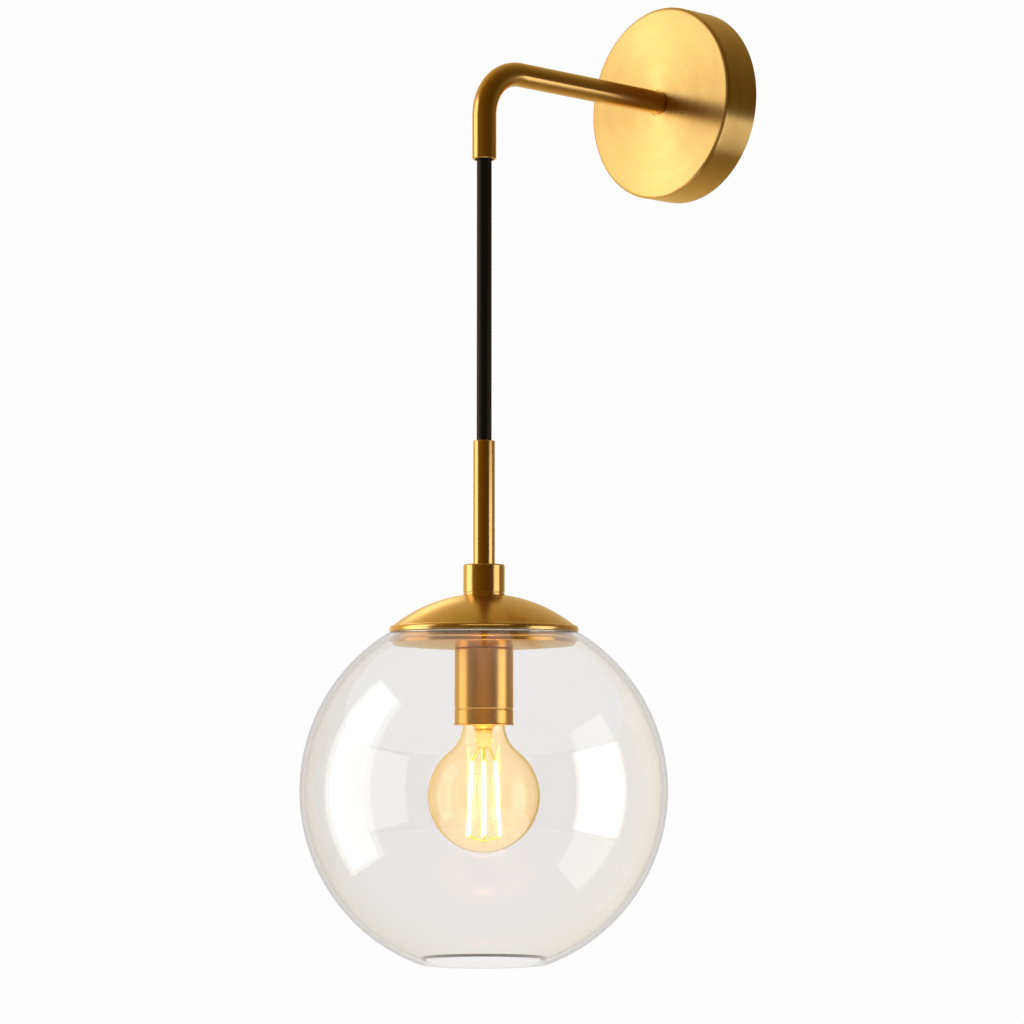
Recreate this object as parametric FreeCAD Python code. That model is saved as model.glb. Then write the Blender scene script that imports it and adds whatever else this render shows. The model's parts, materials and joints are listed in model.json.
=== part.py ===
import FreeCAD, Part

import math
import os

# Globe wall sconce: a round brass canopy on the wall, a bent tube arm, a pendant cord, and
# below it a stem and a domed cap that carries a clear glass globe round a small-screw bulb.
# Frame: the wall is the plane y = 0 and the lamp stands out towards -Y, +Z is up, and the
# origin is the middle of the wall bracket's back face. All sizes are in millimetres.

# Fits shared by many pieces
thread_gap = 0.05            # radial play of a screwed or pressed pair
slip_gap = 0.1               # radial play of a cord in its bush, or of a turned spigot
cord_core_gap = 0.3          # space between a cord's rounded end and the cord that goes on

# Wall canopy and its bracket
canopy_radius = 42.0
canopy_depth = 18.0
canopy_wall = 1.2
canopy_edge_round = 1.6
canopy_entry_radius = 4.2
bracket_width = 22.0
bracket_thickness = 2.0
bracket_corner = 3.0
slot_spacing = 50.0
slot_length = 12.0
slot_width = 4.6
cable_hole_radius = 8.0
ear_width = 12.0
ear_reach = 12.0
ear_gap = 0.8                # between an ear's outside and the canopy's inside
set_screw_radius = 2.0
set_screw_length = 6.5
hex_socket_flats = 2.0
hex_socket_depth = 2.0

# Terminal block on the bracket's side tab, and the earth screw
block_length = 26.0
block_width = 15.0
block_height = 11.0
block_stand_off = 1.5        # from the bracket's side to the block
block_pitch = 8.0
block_lead_hole_radius = 1.7
sleeve_radius = 2.4
clamp_screw_radius = 1.5
block_screw_radius = 1.3
earth_screw_radius = 2.0
earth_screw_place = 14.0     # below the bracket's middle
earth_head_radius = 3.5
earth_ring_radius = 4.0
earth_ring_thickness = 0.8
earth_barrel_length = 4.5

# Arm
arm_radius = 5.0
arm_wall = 1.0
arm_reach = 120.0            # wall to the middle of the hanging cord
arm_bend_radius = 20.0
outlet_drop = 38.5           # arm's middle line to the outlet
arm_end_chamfer = 0.4
nipple_bore_radius = 3.25
arm_nipple_grip = 9.0        # length screwed into the arm
lock_washer_thickness = 0.8
lock_washer_radius = 7.0
lock_washer_teeth = 12
lock_nut_flats = 13.0
lock_nut_height = 3.5
nipple_end_play = 1.0        # nipple past its nut

# Cord and leads
cord_radius = 3.1
cord_free_length = 117.0
cord_stub = 1.5              # sheath past the nipple
lead_radius = 0.9
lead_spread = 1.2            # from the cord's middle to each lead
bush_length = 8.0
bush_chamfer_height = 0.9

# Stem and collar
stem_radius = 4.45
stem_wall = 0.7
stem_length = 51.0
stem_seat = 6.0              # depth of the stem in the collar
stem_chamfer = 0.25
collar_radius = 8.5
collar_height = 12.6
collar_chamfer = 0.5
collar_flange_height = 0.8
collar_groove_height = 0.4
collar_groove_depth = 0.4
hub_nipple_radius = 4.0
hub_nipple_rise = 4.5        # into the collar

# Cap, seal and gallery
dome_radius = 59.0
dome_wall = 1.0
cap_flat_radius = 9.0
bead_ring_radius = 37.0
bead_radius = 1.7
seal_thickness = 0.5
gallery_radius = 37.4
gallery_wall = 1.0
gallery_height = 4.2
gallery_dish = 1.6
gallery_corner = 1.0
gallery_clearance = 0.2      # between the gallery's edge and the bead above it
spacer_radius = 6.0
spring_wire_radius = 0.9
spring_bite = 0.5            # how far the spring ring lies in the gallery's groove
spring_split = 7.0

# Glass globe
globe_radius = 75.0
glass_wall = 1.8
top_opening_radius = 37.9
mouth_radius = 23.6
mouth_lip = 2.9              # radial width of the mouth's rounded edge
lip_bulge = 0.45

# Socket cup and lampholder
cup_radius = 12.0
cup_wall = 0.8
cup_length = 31.3
cup_lip = 0.35
cup_seam_rise = 6.5
cup_seam_depth = 0.25
cup_nut_flats = 13.0
cup_nut_height = 2.5
holder_radius = 10.8
holder_head_gap = 0.8        # between the cup nut and the lampholder
holder_head = 4.0            # wiring hollow in the lampholder's head
holder_head_radius = 8.2
shell_radius = 7.9
shell_wall = 0.5
tongue_thickness = 0.5
tongue_width = 4.0
tongue_gap = 0.3             # from the tongue to the bulb's tip
shell_skirt_gap = 0.7        # between the bulb cap's skirt and the screw shell

# Bulb
bulb_radius = 22.9
bulb_wall = 0.8
bulb_drop = 31.0             # from the screw cap's foot down to the middle of the round glass
bulb_neck_radius = 8.6
bulb_neck_fillet = 14.0
bulb_inset = 2.1             # how far the screw cap's foot lies up inside the cup
cap_shell_radius = 6.95
cap_shell_wall = 0.4
cap_shell_length = 15.5
cap_skirt_length = 3.0
insulator_height = 3.0
insulator_top_radius = 3.6
contact_radius = 2.4
contact_height = 1.0
mount_flare_radius = 7.2
mount_tube_radius = 3.2
mount_bottom = 18.5          # above the middle of the round glass
filament_count = 6
filament_radius = 0.55
filament_length = 30.0
filament_ring_top = 5.6
filament_ring_bottom = 7.4
filament_top = 14.0          # above the middle of the round glass
support_wire_radius = 0.25
support_wire_gap = 0.3       # weld between a wire and a filament's end

# Heights that follow, from the top down; the arm's middle line is z = 0
drop_y = -arm_reach
outlet_z = -outlet_drop
stem_top = outlet_z - cord_free_length
collar_top = stem_top - stem_length
cap_top = collar_top - collar_height
dome_apex = cap_top + dome_radius - math.sqrt(dome_radius ** 2 - cap_flat_radius ** 2)
dome_centre = dome_apex - dome_radius
bead_z = dome_centre + math.sqrt(dome_radius ** 2 - bead_ring_radius ** 2) - bead_radius
glass_inside = globe_radius - glass_wall
opening_sine = top_opening_radius / glass_inside
opening_cosine = math.sqrt(1.0 - opening_sine ** 2)
# The bead rests on a seal on the glass's cut edge, a cone through the globe's centre.
bead_over_globe = (bead_radius + seal_thickness + bead_ring_radius * opening_cosine) / opening_sine
globe_z = bead_z - bead_over_globe
gallery_top = bead_z - bead_radius - gallery_clearance
gallery_corner_z = gallery_top - gallery_height
gallery_floor = gallery_corner_z - gallery_dish
cup_top = gallery_floor
cup_bottom = cup_top - cup_length
arm_bore = arm_radius - arm_wall
stem_bore = stem_radius - stem_wall
hub_nipple_bottom = cup_top - cup_wall - cup_nut_height
holder_top = hub_nipple_bottom - holder_head_gap
bulb_cap_bottom = cup_bottom + bulb_inset
bulb_z = bulb_cap_bottom - bulb_drop
bulb_cap_top = bulb_cap_bottom + cap_shell_length
contact_top = bulb_cap_top + insulator_height + contact_height


def outline(start, *steps):
    """Closed face in the XZ half plane. A step is (x, z), a line to there, or
    ((x, z), (x, z)), an arc through the first point to the second."""
    edges = []
    here = FreeCAD.Vector(start[0], 0, start[1])
    first = here
    for step in steps:
        if isinstance(step[0], tuple):
            middle = FreeCAD.Vector(step[0][0], 0, step[0][1])
            there = FreeCAD.Vector(step[1][0], 0, step[1][1])
            edges.append(Part.Arc(here, middle, there).toShape())
        else:
            there = FreeCAD.Vector(step[0], 0, step[1])
            edges.append(Part.makeLine(here, there))
        here = there
    if here.distanceToPoint(first) > 1e-7:
        edges.append(Part.makeLine(here, first))
    return Part.Face(Part.Wire(edges))


def turned(start, *steps):
    """The outline turned once round the Z axis."""
    return outline(start, *steps).revolve(FreeCAD.Vector(), FreeCAD.Vector(0, 0, 1), 360)


def crown(radius, low, high):
    """Arc of a spherical crown: up from a ring at one height to the axis at another."""
    rise = high - low
    sphere = (radius ** 2 + rise ** 2) / (2.0 * rise)
    turn = 0.5 * math.atan2(radius, abs(sphere) - abs(rise))
    return ((abs(sphere) * math.sin(turn), high - sphere * (1.0 - math.cos(turn))), (0, high))


def rod(radius, low, high, bore=0.0):
    """Upright rod or tube on the Z axis between two heights."""
    solid = Part.makeCylinder(radius, high - low, FreeCAD.Vector(0, 0, low))
    if bore > 0:
        solid = solid.cut(Part.makeCylinder(bore, high - low, FreeCAD.Vector(0, 0, low)))
    return solid


def hexagon(flats, low, high, bore=0.0):
    """Upright six-sided prism on the Z axis, with an optional bore."""
    across = flats / math.sqrt(3.0)
    corners = [FreeCAD.Vector(across * math.cos(math.radians(60 * k)),
                              across * math.sin(math.radians(60 * k)), low) for k in range(7)]
    prism = Part.Face(Part.makePolygon(corners)).extrude(FreeCAD.Vector(0, 0, high - low))
    if bore > 0:
        prism = prism.cut(rod(bore, low, high))
    return prism


def box(x0, x1, y0, y1, z0, z1):
    return Part.makeBox(x1 - x0, y1 - y0, z1 - z0, FreeCAD.Vector(x0, y0, z0))


def out_of_wall(solid):
    """Turn a piece made along +Z so that its +Z points out of the wall, to -Y."""
    return solid.rotated(FreeCAD.Vector(), FreeCAD.Vector(1, 0, 0), 90)


def hung(solid):
    """Carry a piece from the Z axis to the line that the lamp hangs on."""
    return solid.translated(FreeCAD.Vector(0, drop_y, 0))


def route(points, radii):
    """Wire of straight runs joined by tangent arcs, one radius for each inner point."""
    corners = [FreeCAD.Vector(*point) for point in points]
    edges = []
    here = corners[0]
    for before, corner, after, radius in zip(corners, corners[1:], corners[2:], radii):
        back = (before - corner).normalize()
        ahead = (after - corner).normalize()
        half = 0.5 * back.getAngle(ahead)
        reach = radius / math.tan(half)
        middle = (back + ahead).normalize() * (radius / math.sin(half) - radius)
        start = corner + back * reach
        end = corner + ahead * reach
        if here.distanceToPoint(start) > 1e-6:
            edges.append(Part.makeLine(here, start))
        edges.append(Part.Arc(start, corner + middle, end).toShape())
        here = end
    edges.append(Part.makeLine(here, corners[-1]))
    return Part.Wire(edges)


def tube_along(path, radius, bore=0.0):
    """Round section carried along a route."""
    start = path.Edges[0].valueAt(path.Edges[0].FirstParameter)
    heading = path.Edges[0].tangentAt(path.Edges[0].FirstParameter)
    solids = []
    for size in (radius, bore):
        if size > 0:
            ring = Part.Wire(Part.makeCircle(size, start, heading))
            solids.append(path.makePipeShell([ring], True, False))
    return solids[0].cut(solids[1]) if bore > 0 else solids[0]


def on_sphere(radius, ring_radius):
    """Height of the ring of this radius on a sphere about the origin."""
    return math.sqrt(radius ** 2 - ring_radius ** 2)


# ---- wall bracket and canopy ----

ear_face = canopy_radius - canopy_wall - ear_gap
set_screw_y = -(canopy_depth - 2.0 * canopy_edge_round - canopy_wall) / 2.0
block_x = bracket_width / 2.0 + block_stand_off
block_y = -bracket_thickness
tab_half = block_length / 2.0


def wall_bracket():
    """Pressed strap with a fixing slot above and below the cable hole, an ear at each end
    for the canopy's screws, and a side tab that carries the terminal block."""
    half = bracket_width / 2.0
    room = out_of_wall(rod(ear_face + ear_gap / 2.0, 0, bracket_thickness))
    strap = box(-half, half, -bracket_thickness, 0, -ear_face, ear_face).common(room)
    tab = box(0, block_x + block_width, -bracket_thickness, 0, -tab_half, tab_half)
    edges = [edge for edge in tab.Edges
             if abs(edge.Vertexes[0].X - edge.Vertexes[-1].X) < 1e-6
             and abs(edge.Vertexes[0].Z - edge.Vertexes[-1].Z) < 1e-6
             and edge.Vertexes[0].X > half]
    plate = strap.fuse(tab.makeFillet(bracket_corner, edges))
    for side in (-1, 1):
        outer, inner = side * ear_face, side * (ear_face - bracket_thickness)
        ear = box(-ear_width / 2.0, ear_width / 2.0, -ear_reach, 0, min(outer, inner), max(outer, inner))
        plate = plate.fuse(ear)
        hole = rod(set_screw_radius + thread_gap, 0, canopy_radius)
        hole = hole.rotated(FreeCAD.Vector(), FreeCAD.Vector(1, 0, 0), 0 if side > 0 else 180)
        plate = plate.cut(hole.translated(FreeCAD.Vector(0, set_screw_y, 0)))
        straight = (slot_length - slot_width) / 2.0
        middle = side * slot_spacing / 2.0
        slot = box(-slot_width / 2.0, slot_width / 2.0, -bracket_thickness, 0,
                   middle - straight, middle + straight)
        for end in (-straight, straight):
            end_hole = Part.makeCylinder(slot_width / 2.0, bracket_thickness,
                                         FreeCAD.Vector(0, 0, middle + end), FreeCAD.Vector(0, -1, 0))
            slot = slot.fuse(end_hole)
        plate = plate.cut(slot)
    back = FreeCAD.Vector(0, -1, 0)
    for x, z, radius in ((0, 0, cable_hole_radius),
                         (0, -earth_screw_place, earth_screw_radius + thread_gap),
                         (block_x + block_width / 2.0, block_pitch / 2.0, block_screw_radius + thread_gap)):
        plate = plate.cut(Part.makeCylinder(radius, bracket_thickness, FreeCAD.Vector(x, 0, z), back))
    return plate.removeSplitter()


def canopy_cup():
    """Spun cup with a rounded front edge, the arm's hole and two screw holes."""
    r, d, w, e = canopy_radius, canopy_depth, canopy_wall, canopy_edge_round
    slant = math.sqrt(0.5)
    inner = max(e - w, 0.3)
    shell = turned((canopy_entry_radius, d - w), (canopy_entry_radius, d), (r - e, d),
                   ((r - e + e * slant, d - e + e * slant), (r, d - e)), (r, 0), (r - w, 0),
                   (r - w, d - w - inner),
                   ((r - w - inner + inner * slant, d - w - inner + inner * slant),
                    (r - w - inner, d - w)))
    shell = out_of_wall(shell)
    for side in (-1, 1):
        hole = Part.makeCylinder(set_screw_radius + slip_gap, canopy_radius,
                                 FreeCAD.Vector(0, set_screw_y, 0), FreeCAD.Vector(0, 0, side))
        shell = shell.cut(hole)
    return shell


def canopy_set_screws():
    """Two socket set screws through the canopy's rim into the bracket's ears."""
    screws = []
    for side in (-1, 1):
        top = canopy_radius - thread_gap
        screw = rod(set_screw_radius, top - set_screw_length, top)
        screw = screw.cut(hexagon(hex_socket_flats, top - hex_socket_depth, top))
        turn = 0 if side > 0 else 180
        screw = screw.rotated(FreeCAD.Vector(), FreeCAD.Vector(1, 0, 0), turn)
        screws.append(screw.translated(FreeCAD.Vector(0, set_screw_y, 0)))
    return Part.makeCompound(screws)


def machine_screw(radius, head_radius, head_height, length):
    """Round-headed screw along +Z: its tip at z = -length, its head's seat at z = 0."""
    cap = turned((0, -length), (radius, -length), (radius, 0), (head_radius, 0),
                 crown(head_radius, 0, head_height))
    slot = box(-head_radius, head_radius, -0.25 * radius, 0.25 * radius, 0.55 * head_height, head_height)
    return cap.cut(slot)


def earth_ring():
    """Ring tongue under the earth screw, with a crimped barrel for its lead."""
    wall = 0.5
    start = earth_head_radius + 0.4
    middle = earth_ring_thickness + wall + lead_radius
    up = FreeCAD.Vector(0, 1, 0)
    foot = FreeCAD.Vector(0, start, middle)
    ring = rod(earth_ring_radius, 0, earth_ring_thickness, earth_screw_radius + slip_gap)
    barrel = Part.makeCylinder(lead_radius + thread_gap + wall, earth_barrel_length, foot, up)
    neck = box(-1.2, 1.2, earth_screw_radius + 1.0, start + 0.8, 0, earth_ring_thickness)
    bridge = box(-1.2, 1.2, start, start + 0.8, 0, middle - lead_radius)
    bore = Part.makeCylinder(lead_radius + thread_gap, earth_barrel_length, foot, up)
    piece = out_of_wall(ring.fuse([neck, bridge, barrel]).cut(bore))
    return piece.translated(FreeCAD.Vector(0, -bracket_thickness, -earth_screw_place))


def earth_screw():
    screw = out_of_wall(machine_screw(earth_screw_radius, earth_head_radius, 2.4,
                                      bracket_thickness + earth_ring_thickness - slip_gap))
    return screw.translated(FreeCAD.Vector(0, -bracket_thickness - earth_ring_thickness, -earth_screw_place))


def block_places():
    """Height of each of the terminal block's three ways."""
    return [block_pitch * k for k in (-1, 0, 1)]


def terminal_block():
    """Moulded three-way block, one through way for each lead and its clamp screws."""
    x0, x1 = block_x, block_x + block_width
    y0, y1 = block_y - block_height, block_y
    body = box(x0, x1, y0, y1, -block_length / 2.0, block_length / 2.0)
    notch = block_pitch * 0.12
    for z in (-block_pitch / 2.0, block_pitch / 2.0):
        body = body.cut(box(x0, x1, y0, y0 + 2.0, z - notch, z + notch))
    middle_y = block_y - block_height / 2.0
    for z in block_places():
        body = body.cut(Part.makeCylinder(sleeve_radius + thread_gap, block_width,
                                          FreeCAD.Vector(x0, middle_y, z), FreeCAD.Vector(1, 0, 0)))
        for x in screw_places():
            body = body.cut(Part.makeCylinder(clamp_screw_radius + 0.3, block_height / 2.0,
                                              FreeCAD.Vector(x, y0, z), FreeCAD.Vector(0, 1, 0)))
    hole = Part.makeCylinder(block_screw_radius + slip_gap, block_height,
                             FreeCAD.Vector(x0 + block_width / 2.0, y1, block_pitch / 2.0),
                             FreeCAD.Vector(0, -1, 0))
    return body.cut(hole)


def screw_places():
    """Where along the block the two clamp screws of a way stand."""
    return [block_x + block_width * share for share in (0.22, 0.78)]


def terminal_sleeves():
    """Brass sleeve in each way, cross-drilled and tapped for its two screws."""
    middle_y = block_y - block_height / 2.0
    sleeves = []
    inset = 1.5
    for z in block_places():
        start = FreeCAD.Vector(block_x + inset, middle_y, z)
        along = FreeCAD.Vector(1, 0, 0)
        sleeve = Part.makeCylinder(sleeve_radius, block_width - 2 * inset, start, along)
        sleeve = sleeve.cut(Part.makeCylinder(block_lead_hole_radius, block_width - 2 * inset, start, along))
        for x in screw_places():
            sleeve = sleeve.cut(Part.makeCylinder(clamp_screw_radius + thread_gap, block_height,
                                                  FreeCAD.Vector(x, middle_y, z), FreeCAD.Vector(0, -1, 0)))
        sleeves.append(sleeve)
    return Part.makeCompound(sleeves)


def terminal_screws():
    """Six clamp screws, two to a way; the inner ones press on the leads."""
    middle_y = block_y - block_height / 2.0
    tip_y = middle_y - lead_radius - thread_gap
    head_y = block_y - block_height + 1.0
    screws = []
    for z in block_places():
        for x in screw_places():
            screw = Part.makeCylinder(clamp_screw_radius, tip_y - head_y, FreeCAD.Vector(x, tip_y, z),
                                      FreeCAD.Vector(0, -1, 0))
            slot = box(x - clamp_screw_radius, x + clamp_screw_radius, head_y, head_y + 0.8, z - 0.3, z + 0.3)
            screws.append(screw.cut(slot))
    return Part.makeCompound(screws)


def block_screw():
    screw = out_of_wall(machine_screw(block_screw_radius, 2.2, 1.4, block_height + bracket_thickness - slip_gap))
    return screw.translated(FreeCAD.Vector(block_x + block_width / 2.0, block_y - block_height,
                                           block_pitch / 2.0))


# ---- arm ----

def arm_line(start_y, end_z):
    """Middle line of the arm from a distance off the wall, round the bend, down to a height."""
    return route([(0, start_y, 0), (0, drop_y, 0), (0, drop_y, end_z)], [arm_bend_radius])


def arm_tube():
    """Bent tube with a small chamfer at both ends."""
    tube = tube_along(arm_line(-canopy_depth, outlet_z), arm_radius, arm_bore)
    ends = [edge for edge in tube.Edges
            if isinstance(edge.Curve, Part.Circle) and abs(edge.Curve.Radius - arm_radius) < 1e-6
            and (abs(edge.Curve.Center.y + canopy_depth) < 1e-6 or abs(edge.Curve.Center.z - outlet_z) < 1e-6)]
    return tube.makeChamfer(arm_end_chamfer, ends)


nipple_front = canopy_depth + arm_nipple_grip
washer_front = canopy_depth - canopy_wall
nut_front = washer_front - lock_washer_thickness
nut_back = nut_front - lock_nut_height
nipple_back = nut_back - nipple_end_play


def arm_nipple():
    return out_of_wall(rod(arm_bore - thread_gap, nipple_back, nipple_front, nipple_bore_radius))


def arm_lock_washer():
    """Toothed washer between the canopy and the nut."""
    washer = rod(lock_washer_radius, nut_front, washer_front, arm_bore + slip_gap)
    tooth_gap = lock_washer_radius * 0.22
    for k in range(lock_washer_teeth):
        notch = box(lock_washer_radius - 1.2, lock_washer_radius + 1.0, -tooth_gap / 2.0, tooth_gap / 2.0,
                    nut_front, washer_front)
        washer = washer.cut(notch.rotated(FreeCAD.Vector(), FreeCAD.Vector(0, 0, 1),
                                          k * 360.0 / lock_washer_teeth))
    return out_of_wall(washer)


def arm_lock_nut():
    return out_of_wall(hexagon(lock_nut_flats, nut_back, nut_front, arm_bore))


sheath_end = nipple_back - cord_stub


def arm_cord():
    """Cord through the nipple and the arm, down to just above the hanging stretch."""
    return tube_along(arm_line(-sheath_end, outlet_z + cord_radius + cord_core_gap), cord_radius)


def cord_bush(outside, end_z):
    """Sleeve that fills a tube's end round the cord; its mouth is flared for the swing."""
    bore = cord_radius + slip_gap
    return turned((outside, end_z), (outside, end_z + bush_length), (bore, end_z + bush_length),
                  (bore, end_z + bush_chamfer_height))


def outlet_bush():
    return hung(cord_bush(arm_bore - thread_gap, outlet_z))


def lead(points, radii):
    return tube_along(route(points, radii), lead_radius)


def block_lead(offset_x, offset_z, way_z):
    """Lead from the cord's end to its way in the terminal block."""
    start_y = -sheath_end
    turn_y = start_y + 3.2
    way_y = block_y - block_height / 2.0
    end_x = screw_places()[0] + clamp_screw_radius
    return lead([(offset_x, start_y, offset_z), (offset_x, turn_y, offset_z),
                 (block_x - 5.5, way_y, way_z), (end_x, way_y, way_z)], [2.4, 3.0])


def live_lead():
    return block_lead(lead_spread * 0.5, lead_spread * 0.866, block_pitch)


def neutral_lead():
    return block_lead(lead_spread * 0.5, -lead_spread * 0.866, 0.0)


def earth_lead():
    start_y = -sheath_end
    barrel_y = -bracket_thickness - earth_ring_thickness - lead_radius - 0.5
    top_z = -earth_screw_place + earth_head_radius + 0.6
    return lead([(-lead_spread, start_y, 0), (-lead_spread, barrel_y, 0.0),
                 (0, barrel_y, top_z + 5.5), (0, barrel_y, top_z)], [1.8, 3.0])


# ---- hanging cord ----

def pendant_cord():
    """Free stretch of cord. Its rounded ends turn in the bushes above and below."""
    slant = cord_radius * math.sqrt(0.5)
    return hung(turned((0, outlet_z + cord_radius), ((slant, outlet_z + slant), (cord_radius, outlet_z)),
                       (cord_radius, stem_top), ((slant, stem_top - slant), (0, stem_top - cord_radius))))


# ---- stem, collar and hub ----

def stem_tube():
    low = collar_top - stem_seat
    c = stem_chamfer
    return hung(turned((stem_bore, low), (stem_radius, low), (stem_radius, stem_top - c),
                       (stem_radius - c, stem_top), (stem_bore, stem_top)))


def stem_bush():
    """Same sleeve as at the outlet, with its flared mouth upwards."""
    bore = cord_radius + slip_gap
    outside = stem_bore - thread_gap
    return hung(turned((outside, stem_top), (outside, stem_top - bush_length), (bore, stem_top - bush_length),
                       (bore, stem_top - bush_chamfer_height)))


def stem_cord():
    """Cord from the hanging stretch, through the stem and the hub, into the cup."""
    high = stem_top - cord_radius - cord_core_gap
    return hung(rod(cord_radius, hub_nipple_bottom, high))


def stem_collar():
    """Turned collar: the stem sits in its top, the hub's nipple screws into its foot."""
    c = collar_chamfer
    flange_top = cap_top + collar_flange_height
    groove_top = flange_top + collar_groove_height
    groove = collar_radius - collar_groove_depth
    seat = collar_top - stem_seat
    nipple_hole = hub_nipple_radius + thread_gap
    stem_hole = stem_radius + thread_gap
    return hung(turned((nipple_hole, cap_top), (collar_radius, cap_top), (collar_radius, flange_top),
                       (groove, flange_top), (groove, groove_top), (collar_radius, groove_top),
                       (collar_radius, collar_top - c), (collar_radius - c, collar_top),
                       (stem_hole, collar_top), (stem_hole, seat), (nipple_hole, seat)))


def hub_nipple():
    return hung(rod(hub_nipple_radius, hub_nipple_bottom, cap_top + hub_nipple_rise, nipple_bore_radius))


# ---- cap, seal, gallery ----

def dome_height(radius, sphere=dome_radius):
    return dome_centre + on_sphere(sphere, radius)


def shade_cap():
    """Spun dome with a flat seat for the collar and a rolled bead at its edge."""
    inside = dome_radius - dome_wall
    hole = hub_nipple_radius + thread_gap
    edge = bead_ring_radius
    half_way = (cap_flat_radius + edge) / 2.0
    flat_under = dome_height(cap_flat_radius, inside)
    dome = turned((hole, cap_top), (cap_flat_radius, cap_top),
                  ((half_way, dome_height(half_way)), (edge, dome_height(edge))),
                  (edge, dome_height(edge, inside)),
                  ((half_way, dome_height(half_way, inside)), (cap_flat_radius, flat_under)),
                  (hole, flat_under))
    bead = Part.makeTorus(bead_ring_radius, bead_radius, FreeCAD.Vector(0, 0, bead_z))
    return hung(dome.fuse(bead).removeSplitter())


def cap_seal():
    """Clear ring on the cut edge of the glass, under the bead."""
    inner = FreeCAD.Vector(top_opening_radius, 0, globe_z + glass_inside * opening_cosine)
    along = FreeCAD.Vector(opening_sine, 0, opening_cosine)
    across = FreeCAD.Vector(-opening_cosine, 0, opening_sine) * seal_thickness
    outer = inner + along * glass_wall
    corners = [inner, outer, outer + across, inner + across]
    face = Part.Face(Part.makePolygon(corners + corners[:1]))
    ring = face.revolve(FreeCAD.Vector(), FreeCAD.Vector(0, 0, 1), 360)
    bead = Part.makeTorus(bead_ring_radius, bead_radius, FreeCAD.Vector(0, 0, bead_z))
    return hung(ring.cut(bead))


def hub_spacer():
    """Tube that holds the gallery at its distance under the dome."""
    high = dome_height(cap_flat_radius, dome_radius - dome_wall)
    return hung(rod(spacer_radius, gallery_floor + gallery_wall, high, hub_nipple_radius + slip_gap))


spring_ring_radius = gallery_radius + spring_wire_radius - spring_bite
spring_z = globe_z + on_sphere(glass_inside - spring_wire_radius - thread_gap, spring_ring_radius)


def gallery_plate():
    """Dished plate with a short upright wall, which has a groove for the spring ring."""
    r, w, c = gallery_radius, gallery_wall, gallery_corner
    flat = cup_radius + 0.5
    slant = c * (1.0 - math.sqrt(0.5))
    foot = r - c
    dish = gallery_dish * (1.0 - ((flat + foot) / 2.0 - flat) ** 2 / (foot - flat) ** 2)
    mid = ((flat + foot) / 2.0, gallery_corner_z - dish)
    hole = hub_nipple_radius + thread_gap
    plate = turned((hole, gallery_floor), (flat, gallery_floor), (mid, (foot, gallery_corner_z)),
                   ((r - slant, gallery_corner_z + slant), (r, gallery_corner_z + c)), (r, gallery_top),
                   (r - w, gallery_top), (r - w, gallery_corner_z + w + 0.2),
                   ((mid[0], mid[1] + w), (flat, gallery_floor + w)), (hole, gallery_floor + w))
    groove = Part.makeTorus(spring_ring_radius, spring_wire_radius + thread_gap,
                            FreeCAD.Vector(0, 0, spring_z))
    return hung(plate.cut(groove))


def shade_spring_ring():
    """Split ring of spring wire in the gallery's groove, under the lip of the glass."""
    ring = Part.makeTorus(spring_ring_radius, spring_wire_radius, FreeCAD.Vector(0, 0, spring_z))
    half = spring_split / 2.0
    split = box(-half, half, 0, 2 * spring_ring_radius, spring_z - 2, spring_z + 2)
    return hung(ring.cut(split))


# ---- glass globe ----

def glass_globe():
    """Blown globe, cut at right angles to its wall above and rounded at its mouth below."""
    inner_top = (top_opening_radius, globe_z + glass_inside * opening_cosine)
    outer_top = (globe_radius * opening_sine, globe_z + globe_radius * opening_cosine)
    inner_low = (mouth_radius, globe_z - on_sphere(glass_inside, mouth_radius))
    lip = mouth_radius + mouth_lip
    outer_low = (lip, globe_z - on_sphere(globe_radius, lip))
    lean = math.hypot(outer_low[0] - inner_low[0], outer_low[1] - inner_low[1])
    away = ((outer_low[1] - inner_low[1]) / lean * lip_bulge, -(outer_low[0] - inner_low[0]) / lean * lip_bulge)
    rim = ((inner_low[0] + outer_low[0]) / 2.0 + away[0], (inner_low[1] + outer_low[1]) / 2.0 + away[1])
    return hung(turned(inner_top, outer_top, ((globe_radius, globe_z), outer_low), (rim, inner_low),
                       ((glass_inside, globe_z), inner_top)))


# ---- socket cup and lampholder ----

def socket_cup():
    """Drawn cup with a closed top, a shallow seam and a small rolled lip."""
    r, w = cup_radius, cup_wall
    seam = cup_bottom + cup_seam_rise
    lip = cup_bottom + 2.0 * cup_lip
    hole = hub_nipple_radius + thread_gap
    depth = cup_seam_depth
    return hung(turned((hole, cup_top), (hole, cup_top - w), (r - w, cup_top - w), (r - w, cup_bottom),
                       (r, cup_bottom), ((r + cup_lip, cup_bottom + cup_lip), (r, lip)),
                       (r, seam - depth), (r - depth, seam), (r, seam + depth),
                       (r, cup_top - depth), (r - depth, cup_top)))


def cup_nut():
    return hung(hexagon(cup_nut_flats, hub_nipple_bottom, cup_top - cup_wall, hub_nipple_radius + thread_gap))


shell_top = contact_top + tongue_gap + tongue_thickness + 0.2
shell_bottom = bulb_cap_bottom + cap_skirt_length + shell_skirt_gap
head_floor = holder_top - holder_head
holder_bottom = cup_bottom + 1.6


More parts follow.
